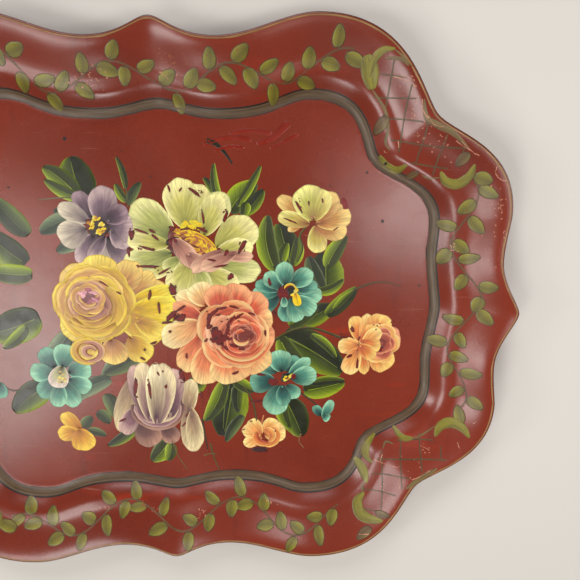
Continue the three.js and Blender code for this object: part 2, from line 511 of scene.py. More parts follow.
def shade_between(stops, t):
    """Colours along stops [(place, colour), ...] at t."""
    places = [stop[0] for stop in stops]
    table = np.array([stop[1] for stop in stops])
    t = np.clip(np.asarray(t, float), places[0], places[-1])
    return np.stack([np.interp(t, places, table[:, k]) for k in range(3)], -1)


def turned(x, y, degrees):
    angle = math.radians(degrees)
    return x * math.cos(angle) - y * math.sin(angle), x * math.sin(angle) + y * math.cos(angle)


def ruffled(a, amount, waves=(5, 9, 14)):
    """Small uneven waves along an edge."""
    total = sum(np.sin(a * k + rng.uniform(0, TAU)) / k**0.5 for k in waves)
    return amount * total


def fan(piece, centre, root, tip, width, colours, ruffle=0.025, side=0):
    """A petal whose bristle lines spread from its root to its rounded edge. Colours: root, middle, edge."""
    root = np.array(centre, float) + root
    axis = np.array(centre, float) + tip - root
    length = np.linalg.norm(axis)
    axis = axis / length
    sideways = np.array((-axis[1], axis[0]))
    a = np.linspace(-1, 1, 37)[:, None]
    r = np.array((0, 0.14, 0.30, 0.46, 0.60, 0.72, 0.82, 0.90, 0.955, 0.985, 1.0))[None, :]
    phi = a * math.pi * 0.93
    x = length * (0.5 + 0.5 * np.cos(phi))
    y = width / 2 * np.sin(phi) * (1 + 0.22 * np.cos(phi))
    edge = 1 + ruffled(a * 2, ruffle)
    x, y = x * edge * r, y * edge * r
    plan = root + x[..., None] * axis + y[..., None] * sideways
    deep, middle, rim = (np.array(c) for c in colours)
    lighter = np.clip(rim * 1.18, 0, 1)
    stops = (
        (0, deep * 0.55), (0.16, deep * 0.8), (0.38, deep * 0.4 + middle * 0.6), (0.6, middle), (0.82, rim),
        (0.96, lighter), (1.0, rim * 0.72),
    )
    tone = shade_between(stops, np.broadcast_to(r, plan.shape[:2]))
    ray = 1 + 0.05 * np.sin(a * 23 + rng.uniform(0, TAU)) * np.sin(a * 11 + rng.uniform(0, TAU))
    tone = tone * ray[..., None]
    if side:
        amount = np.clip(a * side * 1.15, 0, 1)[..., None] * 0.85
        tone = tone * (1 - amount) + deep * amount
    uv = np.stack(np.broadcast_arrays(r * length, a * width * 0.6 + rng.uniform(0, 90)), -1)
    piece.lay(plan, tone, uv)


def ribbon(piece, line, half, colours, stations=(-1, -0.2, 0.55, 0.9, 1), level=None, ruffle=0.0):
    """A stroke along a line of places, with its half width at each; colours run from right to left across."""
    line = np.asarray(line, float)
    along = np.gradient(line, axis=0)
    along /= np.linalg.norm(along, axis=1)[:, None]
    left = np.stack((-along[:, 1], along[:, 0]), 1)
    v = across(11)
    half = np.maximum(half, 0.04)[:, None]
    uneven = 1 + ruffled(np.linspace(0, 6, len(line)), ruffle)[:, None]
    reach = half * v[None, :] * uneven
    plan = line[:, None] + left[:, None] * reach[..., None]
    tone = shade_between(list(zip(stations, colours)), np.broadcast_to(v[None, :], plan.shape[:2]))
    step = np.concatenate(((0,), np.cumsum(np.linalg.norm(np.diff(line, axis=0), axis=1))))
    uv = np.stack(np.broadcast_arrays(step[:, None] + rng.uniform(0, 90), reach), -1)
    piece.lay(plan, tone, uv, level=level)


def arc(piece, centre, radius, start, end, width, colours, squash=1.0, tilt=0.0):
    """A curved petal of a rose: thin at both ends, its light edge outwards. Colours: inside, middle, edge."""
    t = np.linspace(0, 1, 29)[:, None]
    angle = np.radians(start + (end - start) * t)
    v = across(9)[None, :]
    half = width / 2 * np.sin(np.pi * np.clip(t, 0.004, 0.996)) ** 0.6
    edge = 1 + ruffled(t * 5, 0.03) * (v > 0)
    reach = radius + half * v * edge
    x, y = reach * np.cos(angle), reach * np.sin(angle) * squash
    plan = np.stack(turned(x, y, tilt), -1) + np.array(centre, float)
    inside, middle, rim = (np.array(c) for c in colours)
    lighter = np.clip(rim * 1.1, 0, 1)
    stops = ((-1, inside), (-0.3, inside * 0.4 + middle * 0.6), (0.35, middle), (0.8, rim), (1, lighter))
    tone = shade_between(stops, np.broadcast_to(v, plan.shape[:2]))
    tone = tone * (1 + 0.07 * np.sin(v * 9 + rng.uniform(0, TAU)))[..., None]
    uv = np.stack(np.broadcast_arrays(radius * angle + rng.uniform(0, 90), half * v), -1)
    piece.lay(plan, tone, uv)


def blob(piece, centre, rx, ry, tilt, colour, jag=0.12, edge=None, level=None, n=26):
    """A dab or a chip of paint with an uneven outline."""
    angle = np.arange(n)[:, None] * TAU / n
    r = np.array((0, 0.5, 0.85, 0.97, 1.0))[None, :]
    uneven = 1 + ruffled(angle, jag, (2, 3, 5, 8))
    x, y = rx * np.cos(angle) * uneven * r, ry * np.sin(angle) * uneven * r
    plan = np.stack(turned(x, y, tilt), -1) + np.array(centre, float)
    rim = np.array(colour if edge is None else edge)
    tone = shade_between(((0, colour), (0.8, colour), (1, rim)), np.broadcast_to(r, plan.shape[:2]))
    piece.lay(plan, tone, plan + rng.uniform(0, 50), relief=0.012, wrap=True, pole=True, level=level)


def stem(piece, places, start_width, end_width, colour, light=None):
    line = smooth_through(places)
    half = np.linspace(start_width, end_width, len(line)) / 2
    half[0] = half[-1] = 0.05
    light = colour if light is None else light
    ribbon(piece, line, half, (colour, colour, light, light, colour))


def leaf(piece, base, tip, width, tones, lit=1, bend=0.0, outline=None, level=None, blunt=0.0):
    """A leaf in two brush loads: one half dark, the other light at its edge. lit says which side is light."""
    base, tip = np.array(base, float), np.array(tip, float)
    axis = tip - base
    length = np.linalg.norm(axis)
    axis = axis / length
    sideways = np.array((-axis[1], axis[0]))
    t = np.linspace(0, 1, 25)[:, None]
    v = across(13)[None, :]
    swell = np.sin(np.pi * np.clip(t, 0.002, 0.998) ** 0.86) ** (0.78 - blunt)
    half = width / 2 * swell * (1 - 0.12 * t) + 0.05
    spine = bend * length * 4 * t * (1 - t) * 0.5
    uneven = 1 + ruffled(t * 4, 0.02)
    plan = base + (t * length)[..., None] * axis + (spine + half * v * uneven)[..., None] * sideways
    dark, middle, light = (np.array(c) for c in tones)
    s = np.broadcast_to(v * lit, plan.shape[:2])
    stops = (
        (-1, middle), (-0.9, dark * 0.7 + middle * 0.3), (-0.7, dark), (-0.1, dark * 0.9), (0.02, dark * 0.8),
        (0.12, dark * 0.4 + middle * 0.6), (0.5, middle), (0.85, light), (1, np.clip(light * 1.15, 0, 1)),
    )
    tone = shade_between(stops, s)
    tone = tone * (0.82 + 0.18 * np.sin(np.pi * np.clip(t * 1.2, 0, 1)))[..., None]
    uv = np.stack(((np.abs(v) * half), (t - 0.3 * np.abs(v)) * length * np.ones_like(v)), -1)
    if outline is not None:
        rim = base + (t * length)[..., None] * axis + (spine + (half + 0.55) * v)[..., None] * sideways
        rim = rim + ((t - 0.5) * 1.0)[..., None] * axis
        piece.lay(rim, np.array(outline), uv, level=level)
    piece.lay(plan, tone, uv, level=None if level is None else level + 1)
    line = base + (t[2:-2] * length) * axis + spine[2:-2] * sideways
    half_line = np.linspace(0.35, 0.12, len(line)) * max(0.6, width / 16)
    vein = light * 0.4 + middle * 0.5
    ribbon(piece, line, half_line, (vein,) * 5, level=None if level is None else level + 2)


# ---------------------------------------------------------------- band and rim line
band_paint = paint_material("olive_band_paint", streak=0.2, roughness=0.42, relief=0.5, wear=0.25)
rim_paint = paint_material("rim_gilding_paint", streak=0.25, roughness=0.4, relief=0.4, wear=0.2)


def ring_stroke(piece, offsets, base, colours, wobble=0.0):
    """A line all round the tray; offsets are measured outwards from the lines of places in base."""
    i = np.arange(SECTIONS)
    phase = TAU * i / SECTIONS
    waver = sum(np.sin(phase * k + rng.uniform(0, TAU)) for k in (31, 47, 83, 131)) * wobble
    offsets = np.asarray(offsets, float)
    edge = np.zeros(len(offsets))
    edge[:2] = 1
    reach = offsets[None, :] + base[:, None] + waver[:, None] * edge
    plan = FOOT[:, None] + OUTWARD[:, None] * reach[..., None]
    length = np.concatenate(((0,), np.cumsum(np.linalg.norm(np.diff(FOOT, axis=0), axis=1))))
    uv = np.stack(np.broadcast_arrays(length[:, None], offsets[None, :]), -1)
    piece.lay(plan, np.array(colours)[None], uv, relief=0.02, wrap=True)


band = Paint("olive_band", "olive_band", band_paint)
# Olive band on the rounded foot: its dark inner edge is a painted outline, its dark outer edge is painted
# shade where the wall rises, and its two light stripes are painted highlights.
olive_outline_and_shade, olive, olive_highlight = srgb(34, 22, 15), srgb(92, 74, 52), srgb(116, 96, 70)
ring_stroke(band, (-4.1, -3.9, -3.4, -3.2, -2.0, 0.0, 1.6, 2.6, 3.0, 3.3, 4.2, 4.4), np.zeros(SECTIONS), (
    olive_outline_and_shade, olive_outline_and_shade, olive_outline_and_shade, olive, olive, olive_highlight * 0.9, olive, olive_highlight,
    olive, olive_outline_and_shade, olive_outline_and_shade, olive_outline_and_shade,
), wobble=0.10)
band.finish()

gilding = Paint("rim_line", "rim_gilding", rim_paint)
gold, gold_dark, maroon = srgb(156, 128, 82), srgb(104, 80, 48), srgb(34, 20, 16)
gold_tones = (gold_dark, gold, gold, gold_dark, gold_dark)
ring_stroke(gilding, (-2.9, -2.8, -1.9, -1.1, -1.0), WIDTHS, gold_tones, wobble=0.07)
ring_stroke(gilding, (-1.0, -0.9, -0.5, -0.08, -0.01), WIDTHS, (maroon,) * 5)
gilding.finish()

# ---------------------------------------------------------------- bouquet
flower_paint = paint_material("flower_oil_paint", relief=0.6, streak=0.2)
leaf_paint = paint_material("leaf_oil_paint", streak=0.2, roughness=0.34)
chip_paint = paint_material("bare_ground_paint", streak=0.06, roughness=0.5, relief=0.2)
smear_paint = paint_material("red_smear_paint", streak=0.12, roughness=0.28, relief=0.1)

LEAF_DEEP = (srgb(42, 50, 22), srgb(84, 102, 24), srgb(144, 162, 34))
LEAF_LIME = (srgb(62, 72, 24), srgb(120, 142, 28), srgb(170, 190, 46))
LEAF_DULL = (srgb(56, 66, 44), srgb(92, 108, 66), srgb(126, 142, 88))
LEAF_GREY = (srgb(62, 78, 62), srgb(104, 124, 98), srgb(146, 160, 128))
STEM_GREEN = srgb(86, 92, 48)
STEM_OLIVE = (srgb(60, 58, 30), srgb(104, 104, 50))
GROUND_RED = srgb(124, 24, 18)
GROUND_DARK = srgb(70, 16, 14)


def leaf_group(name, leaves):
    """Leaves given as base, tip, width, tones, light side, bend."""
    piece = Paint(name, "leaf_paint", leaf_paint)
    for base, tip, width, tones, lit, bend in leaves:
        leaf(piece, base, tip, width * 1.08, tones, lit, bend, blunt=0.3)
    return piece


upper_left = leaf_group("leaves_upper_left", (
    ((-57, 92), (-88, 80), 11, LEAF_GREY, 1, 0.1),
    ((-72, 76), (-100, 64), 15, LEAF_GREY, -1, -0.08),
    ((-62, 66), (-88, 48), 13, LEAF_GREY, 1, 0.1),
    ((-62, 90), (-70, 124), 30, LEAF_DEEP, 1, 0.10),
    ((-66, 92), (-92, 116), 17, LEAF_LIME, 1, -0.10),
    ((-64, 91), (-92, 106), 10, LEAF_LIME, 1, 0.12),
))
stem(upper_left, ((-56, 90), (-74, 92), (-100, 90)), 1.6, 0.8, srgb(110, 104, 76))
upper_left.finish()

sprig = leaf_group("leaf_sprig_top", (
    ((-29, 98), (-35, 124), 5.5, LEAF_DEEP, 1, -0.12),
    ((-29, 88), (-37, 103), 7, LEAF_LIME, 1, 0.1),
    ((-28, 86), (-17, 104), 8, LEAF_DULL, -1, 0.08),
))
stem(sprig, ((-28, 84), (-28, 92), (-29, 100), (-33, 112)), 1.4, 0.6, STEM_GREEN)
sprig.finish()

top_leaves = leaf_group("leaves_top_right", (
    ((45, 86), (32, 108), 7, LEAF_DEEP, 1, -0.1),
    ((47, 84), (41, 119), 7, LEAF_LIME, -1, 0.15),
    ((52, 80), (74, 104), 19, LEAF_LIME, 1, 0.12),
    ((62, 78), (80, 98), 12, LEAF_DEEP, -1, -0.10),
    ((58, 84), (78, 117), 7, LEAF_LIME, -1, -0.06),
    ((66, 88), (63, 76), 9, LEAF_LIME, 1, 0.05),
))
top_leaves.finish()

right_upper = leaf_group("leaves_right_upper", (
    ((102, 34), (92, 72), 24, LEAF_DEEP, 1, 0.02),
    ((103, 35), (107, 60), 11, LEAF_LIME, -1, -0.16),
    ((94, 38), (99, 55), 9, LEAF_LIME, -1, 0.10),
    ((90, 30), (83, 78), 17, LEAF_LIME, 1, 0.20),
))
stem(
    right_upper,
    ((106, 38), (111, 50), (109, 61), (116, 70)),
    2.2, 1.2, srgb(62, 74, 34), srgb(110, 124, 52),
)
right_upper.finish()

right_middle = leaf_group("leaves_right_middle", (
    ((131, 11), (130, 48), 31, LEAF_DEEP, -1, 0.0),
    ((128, 13), (116, 44), 15, LEAF_DULL, 1, 0.10),
    ((122, 13), (146, 24), 9, LEAF_LIME, -1, -0.25),
    ((131, 33), (147, 61), 14, LEAF_LIME, 1, 0.10),
    ((112, -14), (138, 1), 18, LEAF_DEEP, -1, 0.04),
    ((100, -17), (125, 0), 15, LEAF_LIME, 1, 0.06),
    ((131, -8), (157, 17), 13, LEAF_DEEP, 1, -0.04),
    ((137, -3), (155, 15), 6, LEAF_LIME, 1, 0.06),
))
stem(right_middle, ((153, 14), (168, 20), (182, 21), (194, 17)), 2.0, 0.6, srgb(84, 66, 40), srgb(96, 90, 52))
right_middle.finish()

right_lower = leaf_group("leaves_right_lower", (
    ((93, -24), (148, -60), 34, LEAF_DEEP, -1, 0.06),
    ((92, -26), (117, -57), 18, LEAF_LIME, -1, -0.20),
    ((118, -24), (141, -46), 8, LEAF_LIME, 1, 0.16),
    ((112, -76), (149, -68), 20, LEAF_LIME, -1, -0.04),
    ((119, -69), (149, -67), 9, LEAF_DEEP, 1, 0.10),
    ((96, -82), (112, -120), 26, LEAF_DEEP, -1, 0.04),
    ((94, -82), (101, -112), 12, LEAF_LIME, -1, -0.20),
))
stem(right_lower, ((86, -30), (104, -20), (122, -19), (148, -29)), 2.8, 2.0, *STEM_OLIVE)
stem(right_lower, ((111, -116), (109, -124), (114, -132)), 1.2, 0.5, srgb(150, 116, 78))
stem(right_lower, ((104, -74), (116, -82), (126, -91)), 1.6, 1.0, srgb(70, 62, 38))
right_lower.finish()

lower_leaves = leaf_group("leaves_below", (
    ((52, -66), (42, -120), 33, LEAF_DEEP, 1, 0.02),
    ((44, -66), (26, -104), 15, LEAF_LIME, -1, 0.12),
    ((58, -66), (56, -96), 12, LEAF_DEEP, 1, -0.10),
    ((60, -98), (44, -124), 10, LEAF_DULL, 1, -0.08),
    ((52, -64), (70, -76), 12, LEAF_LIME, 1, -0.05),
    ((14, -74), (28, -62), 16, LEAF_DEEP, -1, 0.0),
    ((-6, -122), (-22, -142), 17, LEAF_LIME, 1, 0.10),
    ((-4, -124), (-8, -142), 11, LEAF_LIME, -1, 0.10),
))
stem(lower_leaves, ((49, -68), (44, -90), (42, -112)), 0.9, 0.6, srgb(104, 122, 62))
stem(lower_leaves, ((24, -100), (26, -118), (28, -132)), 1.6, 0.8, srgb(64, 60, 34))
stem(lower_leaves, ((30, -124), (33, -138), (38, -154)), 1.5, 0.6, srgb(98, 96, 50))
stem(lower_leaves, ((24, -137), (30, -135), (36, -136)), 0.9, 0.6, srgb(120, 112, 62))
stem(lower_leaves, ((-4, -120), (2, -138), (10, -152)), 1.2, 0.5, srgb(124, 104, 62))
stem(lower_leaves, ((60, -70), (68, -84), (72, -106)), 1.7, 1.3, srgb(92, 84, 46))
lower_leaves.finish()

left_leaves = leaf_group("leaves_lower_left", (
    ((-16, -28), (-60, -62), 19, LEAF_GREY, -1, -0.10),
    ((-22, -36), (-58, -58), 13, LEAF_DULL, 1, 0.14),
    ((-52, -62), (-90, -84), 15, LEAF_GREY, 1, -0.12),
    ((-58, -76), (-50, -100), 13, LEAF_DULL, -1, 0.12),
    ((-32, -104), (-60, -126), 11, LEAF_DEEP, 1, 0.14),
    ((-66, -92), (-56, -104), 11, LEAF_DULL, 1, 0.10),
    ((-84, -20), (-106, -44), 16, LEAF_GREY, -1, 0.10),
))
left_leaves.finish()

# The far end of the bouquet, laid out to balance the near one.
far_leaves = leaf_group("leaves_far_left", (
    ((-112, 38), (-142, 66), 24, LEAF_DEEP, 1, 0.10),
    ((-108, 30), (-146, 34), 17, LEAF_LIME, -1, 0.10),
    ((-106, -6), (-152, -22), 30, LEAF_DEEP, 1, 0.06),
    ((-118, -14), (-140, -34), 11, LEAF_LIME, -1, 0.10),
    ((-104, -66), (-138, -92), 24, LEAF_DEEP, 1, -0.06),
    ((-108, 62), (-132, 92), 18, LEAF_DULL, -1, 0.08),
    ((-150, 30), (-176, 54), 11, LEAF_LIME, 1, 0.12),
))
stem(far_leaves, ((-138, 4), (-156, 2), (-166, 6)), 2.4, 1.8, *STEM_OLIVE)
stem(far_leaves, ((-120, -70), (-136, -72), (-146, -66)), 1.6, 1.0, srgb(70, 62, 38))
stem(far_leaves, ((-148, 42), (-166, 64), (-172, 82)), 1.4, 0.6, srgb(84, 78, 44))
far_leaves.finish()


def stamens(piece, centre, rx, ry, tilt, colours, count, size=(2.6, 1.2)):
    """A heap of short dabs."""
    start = piece.level
    for k in range(count):
        r, angle = math.sqrt(rng.uniform(0, 1)), rng.uniform(0, TAU)
        x, y = rx * r * math.cos(angle), ry * r * math.sin(angle)
        dx, dy = turned(x, y, tilt)
        place = (centre[0] + dx, centre[1] + dy)
        colour = colours[rng.integers(len(colours))]
        blob(piece, place, size[0] * rng.uniform(0.6, 1.1), size[1] * rng.uniform(0.7, 1.2),
             tilt + rng.uniform(-40, 40), colour, jag=0.10, level=start + k % 5, n=14)
    piece.level = start + 5


def chips(piece, spots):
    """Places where paint has flaked off to the red ground: x, y, half length, half width, tilt."""
    level = piece.level
    for x, y, rx, ry, tilt in spots:
        jag = 0.10 + 0.12 * min(rx, ry) / max(rx, ry)
        blob(piece, (x, y), rx * 0.98, ry * 0.95, tilt, GROUND_DARK, jag=jag, level=level)
        blob(piece, (x, y), rx * 0.88, ry * 0.78, tilt, GROUND_RED, jag=jag, level=level + 1)
        if rx * ry > 6:
            for _ in range(3):
                angle, r = rng.uniform(0, TAU), rng.uniform(0.9, 1.25)
                spot = (x + rx * r * math.cos(angle), y + ry * r * math.sin(angle))
                blob(piece, spot, rng.uniform(0.5, 1.4), rng.uniform(0.4, 0.8), rng.uniform(0, 180),
                     GROUND_RED * 0.8, jag=0.2, level=level + 2, n=12)
    piece.level = level + 3


def petals(piece, heart, shapes, ruffle=0.025):
    """Petals round a heart: root and tip measured from the heart, width, tones, shaded side."""
    for root, tip, width, tones, side in shapes:
        fan(piece, heart, root, tip, width, tones, ruffle, side)


def flower(name, level=14):
    return Paint(name, "flower_paint", flower_paint, level)


# Turquoise flowers
TEAL = (srgb(34, 80, 76), srgb(96, 160, 144), srgb(154, 208, 180))
TEAL_DARK = (srgb(22, 56, 58), srgb(62, 120, 114), srgb(118, 176, 156))
YELLOW, YELLOW_PALE, OCHRE = srgb(240, 212, 30), srgb(244, 232, 120), srgb(206, 150, 46)


def turquoise(name, centre, shapes, heart):
    piece = flower(name)
    petals(piece, centre, shapes)
    cx, cy = centre
    hx, hy = heart
    blob(piece, (cx + hx, cy + hy), 5.0, 4.2, 20, srgb(36, 52, 44), jag=0.1)
    stamens(piece, (cx + hx + 1, cy + hy), 4.0, 3.4, 30, (YELLOW, YELLOW_PALE, OCHRE), 9, (1.8, 0.9))
    return piece


right_teal = turquoise(
    "turquoise_flower_right",
    (98, 13),
    (
        ((2, -6), (2, -26), 19, TEAL_DARK, 1),
        ((4, -4), (10, -26), 15, TEAL, -1),
        ((-6, -2), (-24, -18), 13, TEAL_DARK, 1),
        ((-6, 0), (-28, 0), 12, TEAL, 1),
        ((-6, 2), (-26, 8), 11, TEAL_DARK, -1),
        ((-4, 4), (-18, 16), 14, TEAL, 1),
        ((6, 0), (30, -4), 15, TEAL, 1),
        ((6, -4), (24, -18), 16, TEAL, -1),
        ((6, 2), (26, 6), 12, TEAL_DARK, 1),
        ((4, 6), (21, 18), 16, TEAL, 1),
        ((-1, 6), (-2, 26), 15, TEAL, -1),
    ),
    (5, 1),
)
blob(right_teal, (95, 12), 5.2, 5.6, 30, srgb(120, 18, 20), jag=0.1, edge=srgb(60, 14, 16))
blob(right_teal, (102, 16), 3.4, 1.6, 0, srgb(40, 30, 16))
arc(right_teal, (101, 15), 5.0, 20, 170, 2.0, (OCHRE, YELLOW, YELLOW_PALE))
fan(right_teal, (105, 8), (0, 5), (3, -7), 7, (OCHRE, YELLOW, YELLOW))
fan(right_teal, (95, 6), (1, 3), (1, -6), 6, TEAL)
chips(right_teal, ((84, -7, 5.5, 2.0, 35), (84, 22, 1.5, 3.4, 10), (77, -8, 2.6, 1.2, 20)))
right_teal.finish()

low_teal = turquoise(
    "turquoise_flower_lower",
    (94, -64),
    (
        ((4, 6), (14, 20), 13, TEAL_DARK, -1),
        ((-4, 6), (-20, 18), 17, TEAL, 1),
        ((0, 6), (-3, 26), 20, TEAL, -1),
        ((6, 2), (24, 18), 12, TEAL, -1),
        ((8, 0), (30, 4), 18, TEAL, -1),
        ((-6, -2), (-28, -4), 20, TEAL_DARK, 1),
        ((4, -6), (14, -18), 13, TEAL, 1),
        ((-2, -6), (-8, -34), 22, TEAL, -1),
        ((0, -6), (2, -26), 13, TEAL_DARK, 1),
    ),
    (4, 1),
)
blob(low_teal, (86, -67), 4.0, 3.4, 10, srgb(128, 40, 36), jag=0.1, edge=srgb(70, 30, 32))
blob(low_teal, (104, -62), 2.0, 2.6, 10, srgb(128, 26, 24), jag=0.1)
chips(low_teal, ((76, -60, 4.0, 1.3, -10), (72, -85, 5.0, 1.2, 0)))
low_teal.finish()

left_teal = turquoise(
    "turquoise_flower_left",
    (-94, -58),
    (
        ((-4, 6), (-14, 24), 16, TEAL_DARK, 1),
        ((2, 6), (6, 28), 18, TEAL, -1),
        ((6, 2), (26, 6), 18, TEAL, 1),
        ((-6, 0), (-26, 4), 17, TEAL, -1),
        ((6, -4), (24, -14), 16, TEAL, -1),
        ((-4, -4), (-20, -20), 17, TEAL_DARK, 1),
        ((3, -8), (10, -30), 16, TEAL, 1),
        ((-2, -8), (-6, -30), 15, TEAL, -1),
    ),
    (0, 0),
)
pale_fold = (srgb(120, 120, 96), srgb(196, 196, 150), srgb(216, 204, 196))
fan(left_teal, (-94, -58), (2, 8), (-6, -12), 17, pale_fold)
dusty_yellows = (YELLOW_PALE, srgb(220, 190, 120), srgb(126, 110, 80))
stamens(left_teal, (-94, -60), 4.0, 6.0, 0, dusty_yellows, 12, (1.6, 0.9))
left_teal.finish()

# Lavender flower
LAVENDER = (srgb(78, 58, 74), srgb(138, 116, 132), srgb(192, 172, 176))
LAVENDER_DARK = (srgb(58, 42, 54), srgb(110, 86, 104), srgb(160, 138, 150))
LAVENDER_PALE = (srgb(128, 112, 120), srgb(180, 170, 160), srgb(214, 206, 188))
lavender = flower("lavender_flower")
LAVENDER_HEART = (-54, 71)
petals(lavender, LAVENDER_HEART, (
    ((-2, 4), (-15, 26), 14, LAVENDER_DARK, -1),
    ((-6, 2), (-29, 15), 15, LAVENDER_PALE, -1),
    ((4, 0), (8, 30), 23, LAVENDER, -1),
    ((-2, -8), (-16, -33), 17, LAVENDER, 1),
    ((4, -12), (8, -36), 20, LAVENDER_PALE, 1),
    ((8, -10), (22, -32), 16, LAVENDER_DARK, -1),
    ((10, -8), (27, -16), 16, LAVENDER, 1),
    ((8, -2), (29, -4), 24, LAVENDER, -1),
    ((8, 2), (25, 12), 16, LAVENDER_DARK, 1),
    ((12, -4), (17, -20), 9, LAVENDER, 1),
    ((-8, -4), (-31, -12), 23, LAVENDER_PALE, 1),
    ((6, -10), (-8, -30), 11, LAVENDER, -1),
))
blob(lavender, (-53, 68), 8.0, 8.5, 30, srgb(66, 50, 44), jag=0.1)
blob(lavender, (-60, 71), 2.4, 4.2, -10, srgb(116, 50, 34))
stamens(lavender, (-54, 70), 6.5, 7.5, 40, (YELLOW, YELLOW_PALE, OCHRE, YELLOW), 26, (2.2, 1.0))
chips(lavender, ((-27, 62, 2.0, 4.6, 12), (-30, 48, 1.4, 4.0, 8)))
lavender.finish()

# Pale peony
PALE = (srgb(170, 170, 84), srgb(208, 206, 124), srgb(238, 234, 172))
PALE_GREEN = (srgb(140, 150, 84), srgb(186, 192, 116), srgb(224, 226, 164))
PALE_PINK = (srgb(146, 92, 84), srgb(196, 148, 132), srgb(228, 190, 166))
peony = flower("pale_peony", 16)
PEONY_HEART = (21, 57)
petals(peony, PEONY_HEART, (
    ((8, 8), (28, 38), 24, PALE_GREEN, 1),
    ((2, 10), (8, 46), 22, PALE, -1),
    ((-4, 10), (-9, 50), 28, PALE, -1),
    ((10, 4), (23, 38), 21, PALE, 1),
    ((-15, 2), (-47, 29), 30, PALE_GREEN, 1),
    ((-12, -16), (-42, -28), 17, PALE, -1),
    ((-16, -10), (-56, -18), 19, PALE_GREEN, 1),
    ((-18, -3), (-52, 1), 16, PALE, -1),
    ((12, -20), (56, -27), 22, PALE_GREEN, 1),
    ((8, -24), (38, -40), 18, PALE, -1),
    ((2, -18), (10, -46), 17, PALE_GREEN, -1),
    ((-1, -17), (-17, -46), 24, PALE, 1),
    ((20, -6), (52, 14), 30, PALE, 1),
    ((20, -10), (50, -6), 20, PALE, -1),
    ((24, -12), (50, -14), 10, PALE_PINK, 1),
), ruffle=0.03)
blob(peony, (21, 52), 22, 12, -32, srgb(120, 60, 44), jag=0.05)
blob(peony, (22, 44), 20, 9, -28, srgb(112, 34, 30), jag=0.08)
for start, end, radius in ((10, 172, 19), (20, 165, 15), (15, 168, 11), (20, 160, 7)):
    arc(peony, (24, 50), radius, start, end, 5.5, (srgb(170, 96, 60), OCHRE, YELLOW), squash=0.62, tilt=-32)
pollen = (YELLOW, OCHRE, srgb(224, 176, 60), srgb(186, 120, 76))
stamens(peony, (24, 55), 20, 7.5, -32, pollen, 54, (2.6, 1.4))
stamens(peony, (22, 69), 8, 3.4, -8, (YELLOW, srgb(232, 216, 60)), 12, (3.2, 1.8))
stamens(peony, (40, 43), 3.5, 9.0, 20, (YELLOW, srgb(232, 200, 50)), 14, (2.6, 1.5))
blob(peony, (9, 54), 7.5, 6.4, -30, srgb(58, 6, 8), jag=0.12)
blob(peony, (8, 55), 5.6, 4.6, -30, srgb(120, 10, 12), jag=0.12)
petals(peony, PEONY_HEART, (
    ((-14, 2), (3, -22), 16, PALE_PINK, -1),
    ((-4, -10), (10, -24), 14, PALE_PINK, -1),
    ((26, -8), (-2, -25), 12, PALE_PINK, -1),
    ((36, -10), (6, -24), 12, PALE_PINK, -1),
    ((-10, -14), (-24, -24), 11, PALE_GREEN, -1),
), ruffle=0.05)
chips(peony, (
    (31, 76, 0.9, 6.0, 8), (49, 76, 1.4, 5.0, -20), (25, 96, 6.0, 1.3, -40), (-19, 65, 5.8, 1.0, -20),
    (-10, 65, 3.0, 1.1, -25), (-15, 51, 7.0, 1.0, -18), (-8, 60, 3.6, 1.1, -40), (-15, 36, 9.0, 1.2, -2),
    (-2, 32, 6.0, 1.1, 28), (6, 67, 2.6, 2.2, 0), (30, 66, 4.8, 1.4, -25), (62, 52, 2.0, 6.4, -28),
    (49, 47, 1.6, 3.0, -38), (52, 27, 1.8, 3.8, -35), (44, 36, 6.0, 1.0, 8), (37, 41, 4.0, 1.0, -10),
    (43, 50, 1.2, 1.2, 0), (5, 99, 0.9, 3.0, 20), (14, 98, 0.7, 2.0, -30),
))
peony.finish()

# Roses
GOLDEN = (srgb(184, 132, 72), srgb(214, 178, 66), srgb(238, 218, 104))
BRIGHT = (srgb(208, 168, 44), srgb(234, 206, 36), srgb(248, 232, 92))
YOLK = (srgb(196, 152, 60), srgb(224, 192, 70), srgb(242, 222, 110))
ROSY_GOLD = (srgb(166, 112, 84), srgb(206, 160, 96), srgb(236, 208, 124))
ROSY = (srgb(156, 100, 96), srgb(196, 146, 122), srgb(232, 200, 158))
CREAM = (srgb(222, 150, 104), srgb(238, 198, 140), srgb(250, 230, 178))
PEACH = (srgb(208, 100, 68), srgb(232, 152, 106), srgb(246, 208, 150))
CORAL = (srgb(176, 72, 54), srgb(216, 110, 80), srgb(240, 176, 132))
CORAL_DEEP = (srgb(122, 44, 38), srgb(174, 86, 68), srgb(226, 158, 128))
CORAL_DARK = (srgb(84, 26, 24), srgb(138, 62, 54), srgb(206, 138, 116))


